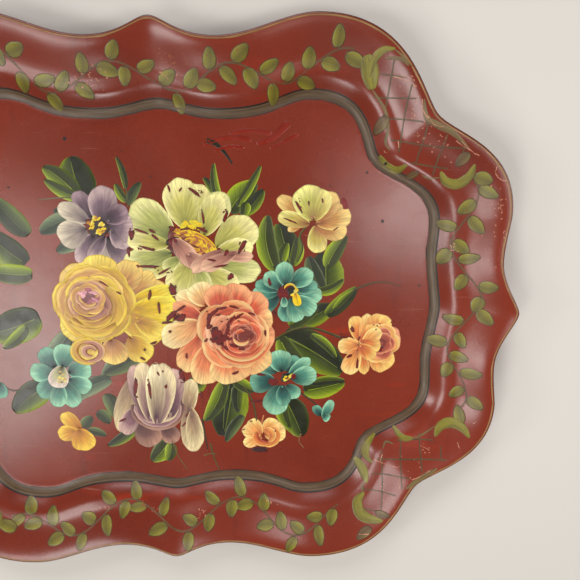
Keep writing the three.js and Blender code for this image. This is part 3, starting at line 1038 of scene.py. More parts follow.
def cup(piece, centre, radius, start, end, depth, colours, squash=1.0, tilt=0.0):
    """A broad rose petal curled round the heart: dark inside, scalloped and light at its outer edge."""
    t = np.linspace(0, 1, 31)[:, None]
    v = across(11)[None, :]
    span = end - start
    swell = np.sin(np.pi * np.clip(t, 0.004, 0.996)) ** 0.42
    outer = radius - depth * 0.62 * (1 - swell) + ruffled(t * 5 * span / 90, radius * 0.012, (3, 7, 11))
    inner = radius - depth * (0.62 + 0.38 * swell)
    reach = inner + (outer - inner) * (v + 1) / 2
    angle = np.radians(start + span * t + (1 - v) * 2.0)
    x, y = reach * np.cos(angle), reach * np.sin(angle) * squash
    plan = np.stack(turned(x, y, tilt), -1) + np.array(centre, float)
    inside, middle, rim = (np.array(c) for c in colours)
    stops = (
        (-1, inside * 0.7), (-0.5, inside), (0.1, inside * 0.3 + middle * 0.7), (0.6, middle),
        (0.86, rim), (1, np.clip(rim * 1.12, 0, 1)),
    )
    wavy = v + 0.12 * np.sin(t * 7 + rng.uniform(0, TAU))
    tone = shade_between(stops, np.broadcast_to(wavy, plan.shape[:2]))
    side = 1 - 0.22 * np.clip(1 - t * 5, 0, 1) - 0.22 * np.clip(t * 5 - 4, 0, 1)
    tone = tone * (side * (1 + 0.07 * np.sin(v * 9 + rng.uniform(0, TAU))))[..., None]
    uv = np.stack(np.broadcast_arrays(radius * angle + rng.uniform(0, 90), reach), -1)
    piece.lay(plan, tone, uv)


def rosette(piece, centre, rings):
    """Curved petals in rings, from the outside in: radius, petals, depth, tones, squash, shift, spin."""
    cx, cy = centre
    for radius, petals, depth, tones, squash, (dx, dy), spin in rings:
        for k in range(petals):
            start = spin + 360 * k / petals + rng.uniform(-8, 8)
            span = 360 / petals * rng.uniform(1.25, 1.5)
            r = radius * (1 + rng.uniform(-0.07, 0.07))
            lighter = 1 + rng.uniform(-0.10, 0.10)
            place = (cx + dx + rng.uniform(-0.6, 0.6), cy + dy + rng.uniform(-0.6, 0.6))
            shaded = [tone * lighter for tone in tones]
            cup(piece, place, r, start, start + span, min(depth * 1.5, r * 0.9), shaded, squash, tilt=12)


yellow_rose = flower("yellow_rose", 28)
YELLOW_ROSE_HEART = (-58, 4)
petals(yellow_rose, YELLOW_ROSE_HEART, (
    ((18, 2), (58, 8), 24, GOLDEN, 1),
    ((18, -4), (58, -12), 26, GOLDEN, -1),
    ((16, -10), (52, -30), 26, GOLDEN, 1),
    ((24, 2), (57, 16), 18, ROSY_GOLD, 1),
    ((22, 6), (48, 26), 16, ROSY_GOLD, -1),
    ((30, -10), (62, -14), 17, BRIGHT, 1),
    ((28, 2), (64, 12), 16, BRIGHT, -1),
    ((28, -4), (66, -1), 19, BRIGHT, -1),
    ((30, -14), (52, -27), 17, GOLDEN, 1),
    ((24, -28), (38, -50), 23, GOLDEN, -1),
    ((8, -30), (12, -53), 24, ROSY_GOLD, 1),
    ((-2, -24), (-20, -50), 22, GOLDEN, -1),
    ((-6, -10), (-31, -26), 24, GOLDEN, 1),
    ((-8, 2), (-34, 0), 34, GOLDEN, -1),
    ((-4, 8), (-24, 32), 28, ROSY_GOLD, 1),
    ((14, 8), (34, 36), 24, ROSY_GOLD, -1),
    ((2, 10), (4, 42), 32, GOLDEN, -1),
), ruffle=0.03)
rosette(yellow_rose, (-61, 5), (
    (34, 7, 9, GOLDEN, 1.02, (1, -1), 15),
    (29.5, 6, 9, ROSY_GOLD, 1.02, (0, -1), 50),
    (26, 5, 8, YOLK, 1.0, (1, -1), 0),
    (22, 6, 7, ROSY_GOLD, 1.0, (-2, 0), 75),
    (18.5, 6, 6, ROSY, 1.0, (-3, 1), 20),
    (15, 5, 5.5, ROSY_GOLD, 0.98, (-4, 3), 100),
    (11.5, 5, 4.6, ROSY, 0.95, (-4, 4), 40),
    (8.5, 4, 4.2, ROSY_GOLD, 0.95, (-4, 5), 10),
))
cup(yellow_rose, (-59, 2), 25, -62, 62, 13, YOLK, 1.05)
cup(yellow_rose, (-60, 2), 27, 200, 318, 9, YOLK, 1.0)
cup(yellow_rose, (-61, 3), 20, 205, 330, 8, GOLDEN, 1.0)
yolk_line = (srgb(188, 128, 88), *YOLK[1:])
for start, end, radius, dy in ((205, 300, 22, -1), (215, 320, 18, 0), (196, 300, 14, 1), (220, 330, 25, -1)):
    arc(yellow_rose, (-65, 6 + dy), radius, start, end, 1.7, yolk_line, squash=0.9)
blob(yellow_rose, (-65, 10), 6, 5, 0, srgb(136, 84, 88), jag=0.1)
pinks = (srgb(216, 160, 176), srgb(236, 186, 196), srgb(176, 110, 124))
stamens(yellow_rose, (-65, 11), 7.5, 6.5, 0, pinks, 15, (3.2, 1.6))
arc(yellow_rose, (-69, -37), 12, 60, 300, 7, GOLDEN, squash=0.85)
arc(yellow_rose, (-68, -37), 10, -110, 120, 6, ROSY, squash=0.85)
arc(yellow_rose, (-68, -37), 5, 0, 300, 5, ROSY, squash=0.85)
chips(yellow_rose, (
    (-15, 12, 1.2, 5.0, -10), (4, 16, 3.0, 4.6, 20), (-8, 1, 1.0, 5.5, 5), (-2, -12, 5.0, 1.1, 6),
    (-14, -30, 3.2, 1.0, 20), (-22, -36, 1.0, 1.0, 0), (-24, -44, 2.4, 0.9, -30), (0, -20, 1.4, 1.0, 0),
    (-40, 14, 2.6, 0.8, -30), (-52, 22, 4.2, 0.8, -32), (10, -8, 4.4, 3.0, 40),
))
yellow_rose.finish()

coral_rose = flower("coral_rose", 34)
CORAL_ROSE_HEART = (39, -22)
petals(coral_rose, CORAL_ROSE_HEART, (
    ((-12, 22), (-32, 35), 17, CREAM, 1),
    ((-8, 24), (-16, 44), 22, CREAM, -1),
    ((-12, 14), (-36, 25), 14, CORAL, 1),
    ((-14, -2), (-30, -34), 21, PEACH, -1),
    ((-14, 10), (-46, -8), 23, CREAM, 1),
    ((-8, -11), (-12, -47), 26, PEACH, 1),
    ((21, -11), (41, -34), 28, PEACH, -1),
    ((8, -15), (13, -46), 36, PEACH, 1),
    ((25, -2), (48, -9), 30, CORAL, 1),
    ((25, 10), (47, 16), 24, PEACH, -1),
    ((22, 12), (39, 34), 24, CORAL, 1),
    ((14, 16), (20, 43), 26, CORAL, 1),
    ((4, 18), (2, 42), 24, CORAL, -1),
), ruffle=0.03)
rosette(coral_rose, (54, -23), (
    (31, 5, 14, PEACH, 1.04, (-1, 0), 20),
    (27, 5, 12, CORAL, 1.04, (0, 0), 55),
    (22, 5, 10, PEACH, 1.0, (2, 0), 10),
))
blob(coral_rose, (58, -24), 17, 17, 0, CORAL[0], jag=0.04)
cup(coral_rose, (54, -24), 25, 100, 232, 22, (srgb(196, 104, 80), srgb(234, 170, 136), srgb(244, 200, 164)))
cup(coral_rose, (55, -24), 24, 215, 330, 14, CORAL)
cup(coral_rose, (56, -24), 22, -40, 80, 12, CORAL)
rosette(coral_rose, (61, -25), (
    (16, 5, 8, CORAL, 1.0, (0, 0), 30),
    (13, 5, 7, CORAL_DEEP, 1.0, (0, 0), 75),
    (10, 4, 6, CORAL_DARK, 1.0, (1, 1), 20),
    (7, 4, 5, CORAL_DARK, 1.0, (1, 1), 60),
))
blob(coral_rose, (63, -23), 6.0, 5.2, 20, srgb(132, 58, 50), jag=0.08)
for start, end, radius, tones in (
    (200, 345, 25, CREAM), (190, 350, 29, PEACH), (205, 335, 21, CORAL),
    (60, 160, 6, CORAL), (190, 330, 8, CREAM),
):
    arc(coral_rose, (60, -25), radius * 0.86, start, end, 3.4, tones, squash=0.98)
chips(coral_rose, (
    (37, -4, 6.0, 1.8, 42), (33, -10, 1.8, 5.5, -12), (44, 0, 4.4, 1.2, 8), (54, 1, 4.0, 1.1, -18),
    (33, -16, 3.0, 2.0, 30), (39, -22, 5.0, 5.6, 0), (42, -28, 5.6, 3.6, 30), (36, -28, 3.4, 1.8, -30),
    (48, -20, 1.6, 5.4, -18), (51, -11, 7.0, 1.1, 52), (58, -7, 5.0, 1.0, 34), (45, -34, 4.6, 1.3, -40),
    (53, -33, 3.6, 1.6, -18), (60, -36, 2.6, 1.5, 0), (30, -28, 2.2, 1.0, 40), (69, -5, 3.0, 1.0, -24),
    (54, -58, 3.2, 1.2, 18), (2, -6, 6.5, 2.2, 40), (10, 0, 5.0, 1.2, 35), (80, -22, 1.0, 3.0, 10),
    (13, -42, 1.0, 2.4, 0), (46, -25, 3.0, 2.0, -30), (50, -27, 2.4, 1.2, 20),
))
coral_rose.finish()

# Mauve bud with cream guard petals
MAUVE = (srgb(92, 56, 72), srgb(150, 110, 122), srgb(206, 176, 170))
MAUVE_CREAM = (srgb(118, 78, 92), srgb(178, 150, 140), srgb(226, 212, 176))
CREAM_MAUVE = (srgb(106, 66, 84), srgb(204, 190, 156), srgb(238, 228, 192))
CREAM_GREY = (srgb(140, 108, 96), srgb(190, 168, 134), srgb(226, 212, 172))
BROWN_MAUVE = (srgb(86, 52, 56), srgb(132, 94, 90), srgb(176, 138, 122))
mauve = flower("mauve_bud_flower")
MAUVE_HEART = (-15, -83)
petals(mauve, MAUVE_HEART, (
    ((-13, -17), (-5, -44), 24, BROWN_MAUVE, -1),
    ((4, -24), (16, -40), 17, BROWN_MAUVE, 1),
    ((-17, 24), (-32, -30), 21, CREAM_GREY, -1),
    ((-18, -6), (-30, -32), 16, MAUVE, 1),
    ((27, -14), (31, 20), 14, CREAM_GREY, 1),
), ruffle=0.02)
for start, end, radius, depth, tones in (
    (186, 354, 30, 17, BROWN_MAUVE), (190, 350, 27, 16, MAUVE),
    (196, 300, 24, 12, MAUVE), (240, 346, 23, 12, MAUVE_CREAM),
):
    cup(mauve, (-14, -82), radius, start, end, depth, tones)
petals(mauve, MAUVE_HEART, (
    ((-8, -17), (-17, 34), 19, MAUVE, 1),
    ((-6, -20), (-10, 36), 19, MAUVE_CREAM, -1),
    ((11, -17), (17, 30), 19, MAUVE, -1),
    ((0, -23), (9, 34), 24, MAUVE_CREAM, 1),
    ((-1, -23), (1, 35), 17, CREAM_MAUVE, -1),
    ((28, -6), (31, -50), 20, CREAM_GREY, -1),
    ((30, -10), (30, -46), 12, CREAM_GREY, 1),
), ruffle=0.02)
chips(mauve, (
    (-32, -70, 1.7, 10.0, -6), (-20, -73, 1.4, 9.0, 4), (-12, -58, 0.9, 2.4, 30), (-6, -70, 1.4, 2.2, 0),
    (8, -60, 2.2, 5.2, 14), (-45, -101, 3.6, 1.2, 20), (24, -78, 1.0, 3.4, 6), (11, -97, 1.0, 2.6, -30),
    (8, -106, 3.0, 0.9, 55), (-14, -49, 1.6, 0.8, 0), (-8, -56, 1.0, 1.0, 0),
))
mauve.finish()

# Pale yellow rose at the top right
STRAW = (srgb(170, 120, 70), srgb(206, 192, 104), srgb(230, 224, 148))
STRAW_GREEN = (srgb(176, 150, 84), srgb(204, 206, 112), srgb(228, 228, 150))
STRAW_PEACH = (srgb(166, 104, 66), srgb(204, 158, 92), srgb(232, 206, 136))
straw = flower("pale_yellow_rose")
STRAW_HEART = (122, 77)
petals(straw, STRAW_HEART, (
    ((-12, -8), (-23, -12), 6, STRAW_PEACH, 1),
    ((-8, -2), (-31, 15), 13, STRAW_PEACH, -1),
    ((-5, -7), (-31, 0), 13, STRAW, 1),
    ((0, -8), (2, -31), 16, STRAW, 1),
    ((-1, -7), (25, -14), 19, STRAW_PEACH, -1),
    ((0, -6), (28, 2), 21, STRAW_PEACH, 1),
    ((0, -4), (15, 18), 19, STRAW_PEACH, -1),
    ((-2, -4), (7, 21), 18, STRAW, 1),
    ((-2, -4), (-9, 24), 26, STRAW_GREEN, -1),
), ruffle=0.02)
blob(straw, (145, 86), 2.6, 4.6, 10, srgb(138, 26, 24), jag=0.14)
chips(straw, (
    (108, 84, 1.2, 6.0, 28), (116, 87, 0.8, 2.2, 0), (127, 89, 0.9, 2.0, 12),
    (101, 73, 6.0, 0.8, -22), (138, 66, 2.6, 0.7, 35),
))
straw.finish()

# Peach rose at the right
APRICOT = (srgb(196, 96, 62), srgb(226, 150, 84), srgb(246, 206, 128))
APRICOT_PALE = (srgb(220, 140, 84), srgb(240, 184, 112), srgb(250, 218, 150))
APRICOT_ROSY = (srgb(146, 66, 58), srgb(190, 104, 84), srgb(234, 168, 130))
apricot = flower("peach_rose")
APRICOT_HEART = (170, -32)
petals(apricot, APRICOT_HEART, (
    ((-8, 0), (-15, 24), 14, APRICOT, -1),
    ((-7, 0), (-3, 26), 11, APRICOT_PALE, 1),
    ((-10, -2), (-28, -3), 15, APRICOT_PALE, 1),
    ((-8, -8), (-4, -29), 10, APRICOT, 1),
    ((-11, -6), (-20, -29), 16, APRICOT_PALE, -1),
    ((2, 4), (10, 25), 22, APRICOT, 1),
    ((2, 0), (26, 4), 24, APRICOT_ROSY, 1),
    ((2, -4), (16, -25), 22, APRICOT, -1),
), ruffle=0.03)
rosette(apricot, (178, -33), (
    (18, 6, 8, APRICOT_PALE, 1.05, (0, 0), 250),
    (14, 5, 7, APRICOT_ROSY, 1.05, (0, 0), 230),
    (10, 4, 6, APRICOT_ROSY, 1.0, (1, 0), 260),
))
petals(apricot, APRICOT_HEART, (
    ((-8, 0), (4, 16), 13, APRICOT, 1),
    ((-7, -2), (8, 12), 13, APRICOT_PALE, -1),
    ((-10, 0), (9, -4), 13, APRICOT, 1),
    ((-10, -2), (4, -14), 13, APRICOT, -1),
), ruffle=0.03)
chips(apricot, (
    (159, -51, 1.2, 4.8, -4), (152, -44, 2.8, 1.2, 24),
    (147, -27, 3.4, 1.1, 0), (179, -38, 1.2, 2.8, -20),
    (154, -20, 1.6, 3.0, 30), (172, -16, 0.7, 0.7, 0), (175, -17, 0.7, 0.7, 0), (174, -20, 0.7, 0.7, 0),
    (177, -15, 0.6, 0.6, 0), (187, -14, 0.7, 0.7, 0), (160, -28, 2.0, 0.8, 60),
))
apricot.finish()

# Small buds
SUNNY = (srgb(190, 124, 44), srgb(220, 168, 58), srgb(240, 204, 84))
buds = flower("small_buds_right")
stem(buds, ((74, -114), (76, -106), (78, -98)), 1.6, 1.2, srgb(206, 140, 84))
blob(buds, (74, -132), 7.5, 2.6, -5, srgb(76, 30, 34), jag=0.06)
petals(buds, (78, -117), (
    ((-2, -2), (-18, -10), 12, APRICOT_PALE, 1),
    ((-2, 0), (-19, 6), 14, APRICOT_PALE, -1),
    ((-2, 0), (-13, 14), 13, APRICOT_PALE, 1),
    ((0, 0), (19, 4), 20, APRICOT_PALE, 1),
    ((0, 2), (12, 13), 16, APRICOT_PALE, -1),
))
for start, end, radius, depth, tones in (
    (-100, 60, 14, 9, APRICOT), (-70, 84, 10, 6, APRICOT_PALE), (150, 290, 12, 7, APRICOT),
):
    cup(buds, (79, -118), radius, start, end, depth, tones)
chips(buds, ((67, -104, 1.4, 0.7, 0), (60, -112, 1.6, 0.6, 30), (88, -114, 0.8, 0.8, 0)))
petals(buds, (131, -94), (
    ((-2, -6), (-9, 4), 8, TEAL_DARK, 1),
    ((-1, -8), (7, 9), 9, TEAL, -1),
    ((-1, -6), (5, -9), 8, TEAL, 1),
))
buds.finish()

sunny = flower("small_buds_left")
petals(sunny, (-84, -113), (
    ((2, 4), (-13, 19), 13, SUNNY, -1),
    ((-1, 1), (-18, -1), 15, SUNNY, 1),
    ((0, 4), (6, -17), 21, SUNNY, -1),
))
sunny.finish()
sepals = leaf_group("bud_sepals_left", (
    ((-80, -108), (-71, -97), 10, LEAF_DULL, 1, 0.1),
    ((-76, -110), (-60, -116), 8, LEAF_DULL, 1, 0.1),
))
sepals.finish()

far_flower = flower("coral_rose_far_left")
for k, tones in enumerate((PEACH, CREAM, CORAL, PEACH, CREAM, CORAL, PEACH)):
    angle = math.radians(20 + k * 51)
    fan(
        far_flower, (-176, 6),
        (6 * math.cos(angle), 6 * math.sin(angle)), (25 * math.cos(angle), 25 * math.sin(angle)),
        20, tones, side=(-1) ** k,
    )
rosette(far_flower, (-176, 6), (
    (15, 5, 8, PEACH, 1, (0, 0), 20), (11, 4, 7, CORAL, 1, (0, 0), 70),
    (7, 4, 5, CORAL_DEEP, 1, (0, 0), 20),
))
petals(far_flower, (-148, -64), (
    ((0, 4), (-14, 12), 12, TEAL, -1),
    ((0, 2), (-16, -6), 13, TEAL, 1), ((1, 0), (2, -15), 12, TEAL_DARK, -1),
))
far_flower.finish()

# A few pits in the lacquer and a dark flick of the brush above the bouquet
pits = Paint("pits_and_marks", "red_lacquer", chip_paint, 1)
for x, y, size in (
    (-73, 137, 1.5), (162, 111, 1.1), (176, 72, 1.3),
    (133, 101, 0.7), (209, 18, 1.0), (101, 99, 0.6), (-9, 108, 0.7),
    (46, 96, 0.6), (144, -24, 0.7), (-120, 100, 0.9),
    (-176, 96, 0.8), (-30, 128, 0.5), (176, 118, 1.2), (200, 0, 0.5),
):
    blob(pits, (x, y), size, size, 0, srgb(40, 10, 8), jag=0.12)
pits.finish()
smears = Paint("red_smears", "red_lacquer", smear_paint, 1)
for places, width in (
    (((32, 132), (46, 137), (60, 138), (72, 136)), 5.0), (((52, 141), (70, 143), (88, 141)), 4.2),
    (((74, 133), (86, 137), (101, 150)), 6.0),
    (((84, 129), (98, 136), (108, 141)), 3.6), (((40, 128), (54, 131), (66, 130)), 3.0),
):
    stem(smears, places, width * 0.6, width, srgb(146, 42, 12), srgb(134, 38, 14))
smears.finish()
flick = Paint("dark_flick", "leaf_paint", leaf_paint, 1)
stem(flick, ((35, 136), (43, 133), (50, 126), (56, 117)), 4.6, 1.4, srgb(44, 40, 24))
flick.finish()


# ---------------------------------------------------------------- border: vine, lattice and scrolls
vine_paint = paint_material("border_oil_paint", streak=0.24, roughness=0.40, wear=0.45)
VINE_STEM = srgb(112, 82, 50)
VINE_LEAF = (srgb(124, 118, 42), srgb(138, 134, 46), srgb(152, 148, 60))
VINE_EDGE = srgb(82, 64, 36)
SCROLL = (srgb(116, 108, 40), srgb(138, 134, 40), srgb(146, 142, 48))
SCROLL_GREY = (srgb(116, 94, 62), srgb(126, 108, 68), srgb(136, 120, 80))
LATTICE = srgb(96, 78, 44)
# Pale pink of scratches and scuffs in the paint; in the flecks near the rim the same pink is also painted
# sheen of the light.
SCUFF_AND_SHEEN_PINK = srgb(206, 152, 128)

MIDDLE = FOOT + OUTWARD * WIDTHS[:, None] / 2
ALONG = np.concatenate(((0,), np.cumsum(np.linalg.norm(np.diff(MIDDLE, axis=0), axis=1))))
ROUND = ALONG[-1] + np.linalg.norm(MIDDLE[0] - MIDDLE[-1])
CORNER = ALONG[sum(STEPS_OF_CURVE[:3])]
EDGE_MARGIN = 3.5  # what the border's painting keeps clear of the rim


def on_border(along, out):
    """Places so far along the border, anticlockwise from the right-hand point, and so far from its foot."""
    along = np.mod(along, ROUND)
    knots = np.append(ALONG, ROUND)
    foot, outward = np.vstack((FOOT, FOOT[:1])), np.vstack((OUTWARD, OUTWARD[:1]))
    base = np.stack([np.interp(along, knots, foot[:, k]) for k in (0, 1)], -1)
    reach = np.stack([np.interp(along, knots, outward[:, k]) for k in (0, 1)], -1)
    widest = np.interp(along, knots, np.append(WIDTHS, WIDTHS[:1])) - EDGE_MARGIN
    return base + reach * np.minimum(out, widest)[..., None]


LEAF_SPACING = 9.6


def vine(name, start, end, middle, swing, crest, period):
    """A leafy vine that runs clockwise; at crest its wave is nearest the rim."""
    piece = Paint(name, "leaf_paint", vine_paint)

    def line(s):
        return on_border(s, middle + swing * np.cos(TAU * (np.asarray(s) - crest) / period))

    s = np.concatenate(((start + 1,), np.linspace(start + 0.6, end - 0.6, 48), (end - 1,)))
    half = 0.82 * (1 + ruffled(np.linspace(0, 9, len(s)), 0.16))
    ribbon(piece, line(s), half, (VINE_STEM,) * 5, level=1)
    side = 1
    for k in range(int((start - end - 4) / LEAF_SPACING)):
        place = start - 5 - LEAF_SPACING * k + rng.uniform(-1.5, 1.5)
        base, ahead = line(np.array((place, place - 1.5)))
        growth = (ahead - base) / np.linalg.norm(ahead - base)
        stalk = np.array(turned(*growth, side * rng.uniform(34, 72)))
        base = base + stalk * 1.6
        tip = base + stalk * rng.uniform(13.5, 16.5)
        leaf(piece, base, tip, rng.uniform(9.0, 11.0), VINE_LEAF, lit=side, bend=-0.06 * side,
             outline=VINE_EDGE, level=2, blunt=0.12)
        side = -side
    piece.finish()


vine("vine_top_left", 540, 390, 23, 12, 421, 91)
vine("vine_top_right", 390, 240, 23, 12, 421, 91)
vine("vine_right_upper", 106, 6, 24, 11.5, 104, 93)
vine("vine_right_lower", 6, -92, 24, 9, 12, 88)
vine("vine_bottom_right", ROUND - 236, ROUND - 388, 27, 11, 1171, 97)
vine("vine_bottom_left", ROUND - 388, ROUND - 538, 27, 11, 1171, 97)
vine("vine_left_lower", 881, 781, 24, 11.5, 879, 93)
vine("vine_left_upper", 781, 683, 24, 9, 787, 88)


def scroll(piece, places, width, tones, power=0.7, turn=1, level=2):
    line = smooth_through(np.array(places, float) * turn)
    t = np.linspace(0, 1, len(line))
    half = width / 2 * np.sin(np.pi * np.clip(t, 0.01, 0.99)) ** power
    dark, middle, light = tones
    ribbon(piece, line, half, (dark, middle, light, middle, dark), level=level, ruffle=0.04)


LATTICE_LINES = 8
LATTICE_X, LATTICE_PITCH_X = 150, 16.0
LATTICE_Y, LATTICE_PITCH_Y = 88, 15.5
LATTICE_HALF_WIDTH = 0.6
LATTICE_FROM_FOOT, LATTICE_FROM_RIM, LATTICE_FROM_CORNER = 14, 7, 47


def lattice(piece, corner, turn, upright, slope):
    """Thin crossed lines over the flat of a corner, kept between its foot and its rim."""
    xs, ys = np.arange(120, 270, 1.5), np.arange(60, 215, 1.5)
    lines = []
    for k in range(LATTICE_LINES):
        lines.append(np.stack((LATTICE_X + LATTICE_PITCH_X * k + upright * (ys - 120), ys), -1))
        lines.append(np.stack((xs, LATTICE_Y + LATTICE_PITCH_Y * k + slope * (xs - 190)), -1))
    for points in lines:
        points = points * turn
        points = points + 0.9 * np.sin(points[:, ::-1] / 13 + rng.uniform(0, TAU))
        gap = points[:, None] - FOOT[None]
        out = (gap * OUTWARD[None]).sum(-1)
        off = np.linalg.norm(gap - out[..., None] * OUTWARD[None], axis=-1)
        off = np.where((out > -3) & (out < WIDTHS + 3), off, 999)
        near = off.argmin(1)
        out = out[np.arange(len(points)), near]
        away = np.abs((ALONG[near] - corner + ROUND / 2) % ROUND - ROUND / 2)
        on_flat = (out > LATTICE_FROM_FOOT) & (out < WIDTHS[near] - LATTICE_FROM_RIM)
        inside = (off.min(1) < 7) & on_flat & (away < LATTICE_FROM_CORNER)
        runs = np.split(np.arange(len(points)), np.flatnonzero(np.diff(inside.astype(int))) + 1)
        for run in runs:
            if inside[run[0]] and len(run) > 4:
                half = np.full(len(run), LATTICE_HALF_WIDTH) * (1 + ruffled(np.linspace(0, 8, len(run)), 0.2))
                half[0] = half[-1] = 0.1
                ribbon(piece, points[run], half, (LATTICE,) * 5, level=1)


def corner_leaf(piece, base, tip, width, turn, tones=VINE_LEAF):
    base, tip = np.array(base) * turn, np.array(tip) * turn
    leaf(piece, base, tip, width, tones, outline=VINE_EDGE, level=4, blunt=0.12)


def scratches(piece, lines, turn):
    for places in lines:
        line = smooth_through(np.array(places, float) * turn, 6)
        line = line + rng.uniform(-0.25, 0.25, line.shape)
        half = 0.28 * rng.uniform(0.3, 1.5, len(line))
        ribbon(piece, line, half, (SCUFF_AND_SHEEN_PINK,) * 5, level=7)


def fleck(piece, place, longest, widest=0.5, colour=SCUFF_AND_SHEEN_PINK, jag=0.2):
    rx, ry = rng.uniform(0.3, longest), rng.uniform(0.2, widest)
    blob(piece, place, rx, ry, rng.uniform(0, 180), colour, jag=jag, level=7, n=10)


MIRROR = np.array((1, -1))


def vine_end_corner(name, corner, turn):
    """The corner the vine arrives at along a long side and leaves along an end."""
    piece = Paint(name, "leaf_paint", vine_paint)
    lattice(piece, corner, turn, 0.14, -0.10)
    corner_leaf(piece, (141, 197), (156, 189), 10, turn)
    scroll(piece, ((156, 197), (159, 186), (162, 172)), 13, SCROLL, 0.45, turn, 5)
    scroll(piece, ((159, 180), (161, 192), (167, 199), (176, 200)), 6, SCROLL, 0.7, turn, 6)
    scroll(piece, ((174, 200), (181, 195), (189, 187)), 1.6, SCROLL_GREY, 0.6, turn, 2)
    tendril = ((161, 174), (167, 166), (173, 156), (175, 144), (174, 134), (178, 128))
    scroll(piece, tendril, 2.6, SCROLL_GREY, 0.5, turn, 3)
    corner_leaf(piece, (174, 154), (166, 140), 8, turn, SCROLL_GREY)
    scroll(piece, ((170, 125), (177, 116), (185, 113), (192, 118)), 7, SCROLL, 0.5, turn)
    corner_leaf(piece, (201, 112), (192, 106), 5, turn, SCROLL_GREY)
    scroll(piece, ((203, 110), (209, 107), (218, 108)), 1.6, SCROLL_GREY, 0.6, turn)
    scroll(piece, ((217, 113), (222, 105), (231, 103), (238, 109), (241, 119)), 8.5, SCROLL, 0.6, turn, 5)
    scroll(piece, ((198, 167), (201, 153), (210, 147), (222, 141), (236, 129)), 5, SCROLL_GREY, 0.7, turn)
    scroll(piece, ((168, 194), (180, 193), (186, 188)), 3.2, SCROLL_GREY, 0.7, turn)
    corner_leaf(piece, (235, 127), (228, 117), 8, turn, SCROLL_GREY)
    corner_leaf(piece, (242, 110), (255, 105), 11, turn)
    scratches(piece, (
        ((175, 182), (186, 178), (193, 174)),
        ((178, 183), (190, 179)), ((197, 166), (198, 158), (203, 151)),
        ((203, 151), (208, 147), (215, 146)),
        ((224, 136), (230, 132), (236, 129)), ((228, 136), (237, 128), (243, 125)),
        ((257, 118), (256, 112), (261, 107), (265, 106)),
        ((173, 128), (176, 126)), ((183, 136), (184, 130)),
    ), turn)
    # Pale flecks near the rim round the corner: scuffs in the paint, and painted sheen where the light
    # catches the rim.
    for _ in range(40):
        s, out = rng.uniform(-30, 45), rng.uniform(30, 46)
        fleck(piece, on_border(corner - s, out), 1.1)
    piece.finish()


def vine_start_corner(name, corner, turn):
    """The corner the vine arrives at along an end and leaves along a long side. Its places are mirrored."""
    piece = Paint(name, "leaf_paint", vine_paint)
    lattice(piece, corner, turn, -0.02, -0.06)
    scroll(piece, ((226, 114), (231, 104), (240, 100), (248, 103), (254, 111)), 9.5, SCROLL, 0.6, turn, 5)
    corner_leaf(piece, (247, 100), (244, 84), 9, turn)
    scroll(piece, ((191, 108), (199, 116), (209, 116)), 6, SCROLL, 0.6, turn)
    scroll(piece, ((205, 117), (215, 113), (227, 104)), 1.8, SCROLL_GREY, 0.5, turn)
    scroll(piece, ((177, 115), (169, 126), (168, 136), (174, 141)), 7, SCROLL, 0.6, turn)
    scroll(piece, ((158, 140), (165, 148), (169, 161)), 9, SCROLL, 0.7, turn, 4)
    scroll(piece, ((168, 158), (165, 163), (165, 170)), 1.8, SCROLL_GREY, 0.6, turn)
    scroll(piece, ((167, 168), (161, 177), (163, 187), (171, 190), (183, 190)), 10.5, SCROLL, 0.6, turn, 5)
    corner_leaf(piece, (176, 184), (188, 185), 6, turn, SCROLL_GREY)
    corner_leaf(piece, (172, 197), (160, 208), 8, turn, SCROLL_GREY)
    scroll(piece, ((182, 127), (185, 121), (192, 122)), 1.8, SCROLL_GREY, 0.6, turn)
    scroll(piece, ((228, 138), (214, 147), (200, 159)), 5, SCROLL_GREY, 0.6, turn)
    scratches(piece, (
        ((205, 150), (213, 146), (222, 140)), ((174, 137), (180, 139), (190, 141), (196, 141)),
        ((195, 152), (197, 164)), ((182, 131), (180, 139)),
        ((160, 204), (172, 203)), ((213, 121), (222, 125)),
        ((244, 115), (246, 121)), ((256, 98), (259, 96)),
    ), turn)
    for _ in range(26):
        s, out = rng.uniform(-40, 40), rng.uniform(24, 46)
        fleck(piece, on_border(corner + s, out), 0.9)
    piece.finish()


vine_end_corner("corner_top_right", CORNER, 1)
vine_end_corner("corner_bottom_left", ROUND / 2 + CORNER, -1)
vine_start_corner("corner_bottom_right", ROUND - CORNER, MIRROR)
vine_start_corner("corner_top_left", ROUND / 2 - CORNER, -MIRROR)

# Worn spots on the vine along the sides; the wide clusters of pale flecks near the rim on the right-hand side
# are painted sheen of the light on the rim as well as wear.
wear = Paint("border_wear_and_sheen", "red_lacquer", chip_paint)
for along, out, spread, count, colour in (
    (436, 24, 7, 26, SCUFF_AND_SHEEN_PINK), (373, 33, 6, 20, srgb(170, 96, 50)), (380, 21, 3, 8, SCUFF_AND_SHEEN_PINK),
    (54, 15, 4, 10, SCUFF_AND_SHEEN_PINK), (1135, 20, 6, 16, srgb(170, 80, 50)), (1186, 27, 4, 10, SCUFF_AND_SHEEN_PINK),
    (1095, 22, 3, 8, SCUFF_AND_SHEEN_PINK), (1247, 17, 3, 8, SCUFF_AND_SHEEN_PINK), (90, 46, 9, 14, SCUFF_AND_SHEEN_PINK), (60, 44, 10, 12, SCUFF_AND_SHEEN_PINK),
):
    for _ in range(count):
        place = on_border(along + rng.normal(0, spread), out + rng.normal(0, spread * 0.5))
        fleck(wear, place, 1.0, 0.55, colour, jag=0.25)
wear.finish()


# ---------------------------------------------------------------- stage, lights and camera
FLOOR_HALF, FLOOR_GAP = 3, 0.0002  # metres
floor_corners = [(x * FLOOR_HALF, y * FLOOR_HALF, 0) for x, y in ((-1, -1), (1, -1), (1, 1), (-1, 1))]
floor_mesh = bpy.data.meshes.new("floor")
floor_mesh.from_pydata(floor_corners, [], [(0, 1, 2, 3)])
floor_mesh.materials.append(floor_material())
floor = bpy.data.objects.new("floor", floor_mesh)
floor.location.z = -FLOOR_GAP
scene.collection.objects.link(floor)


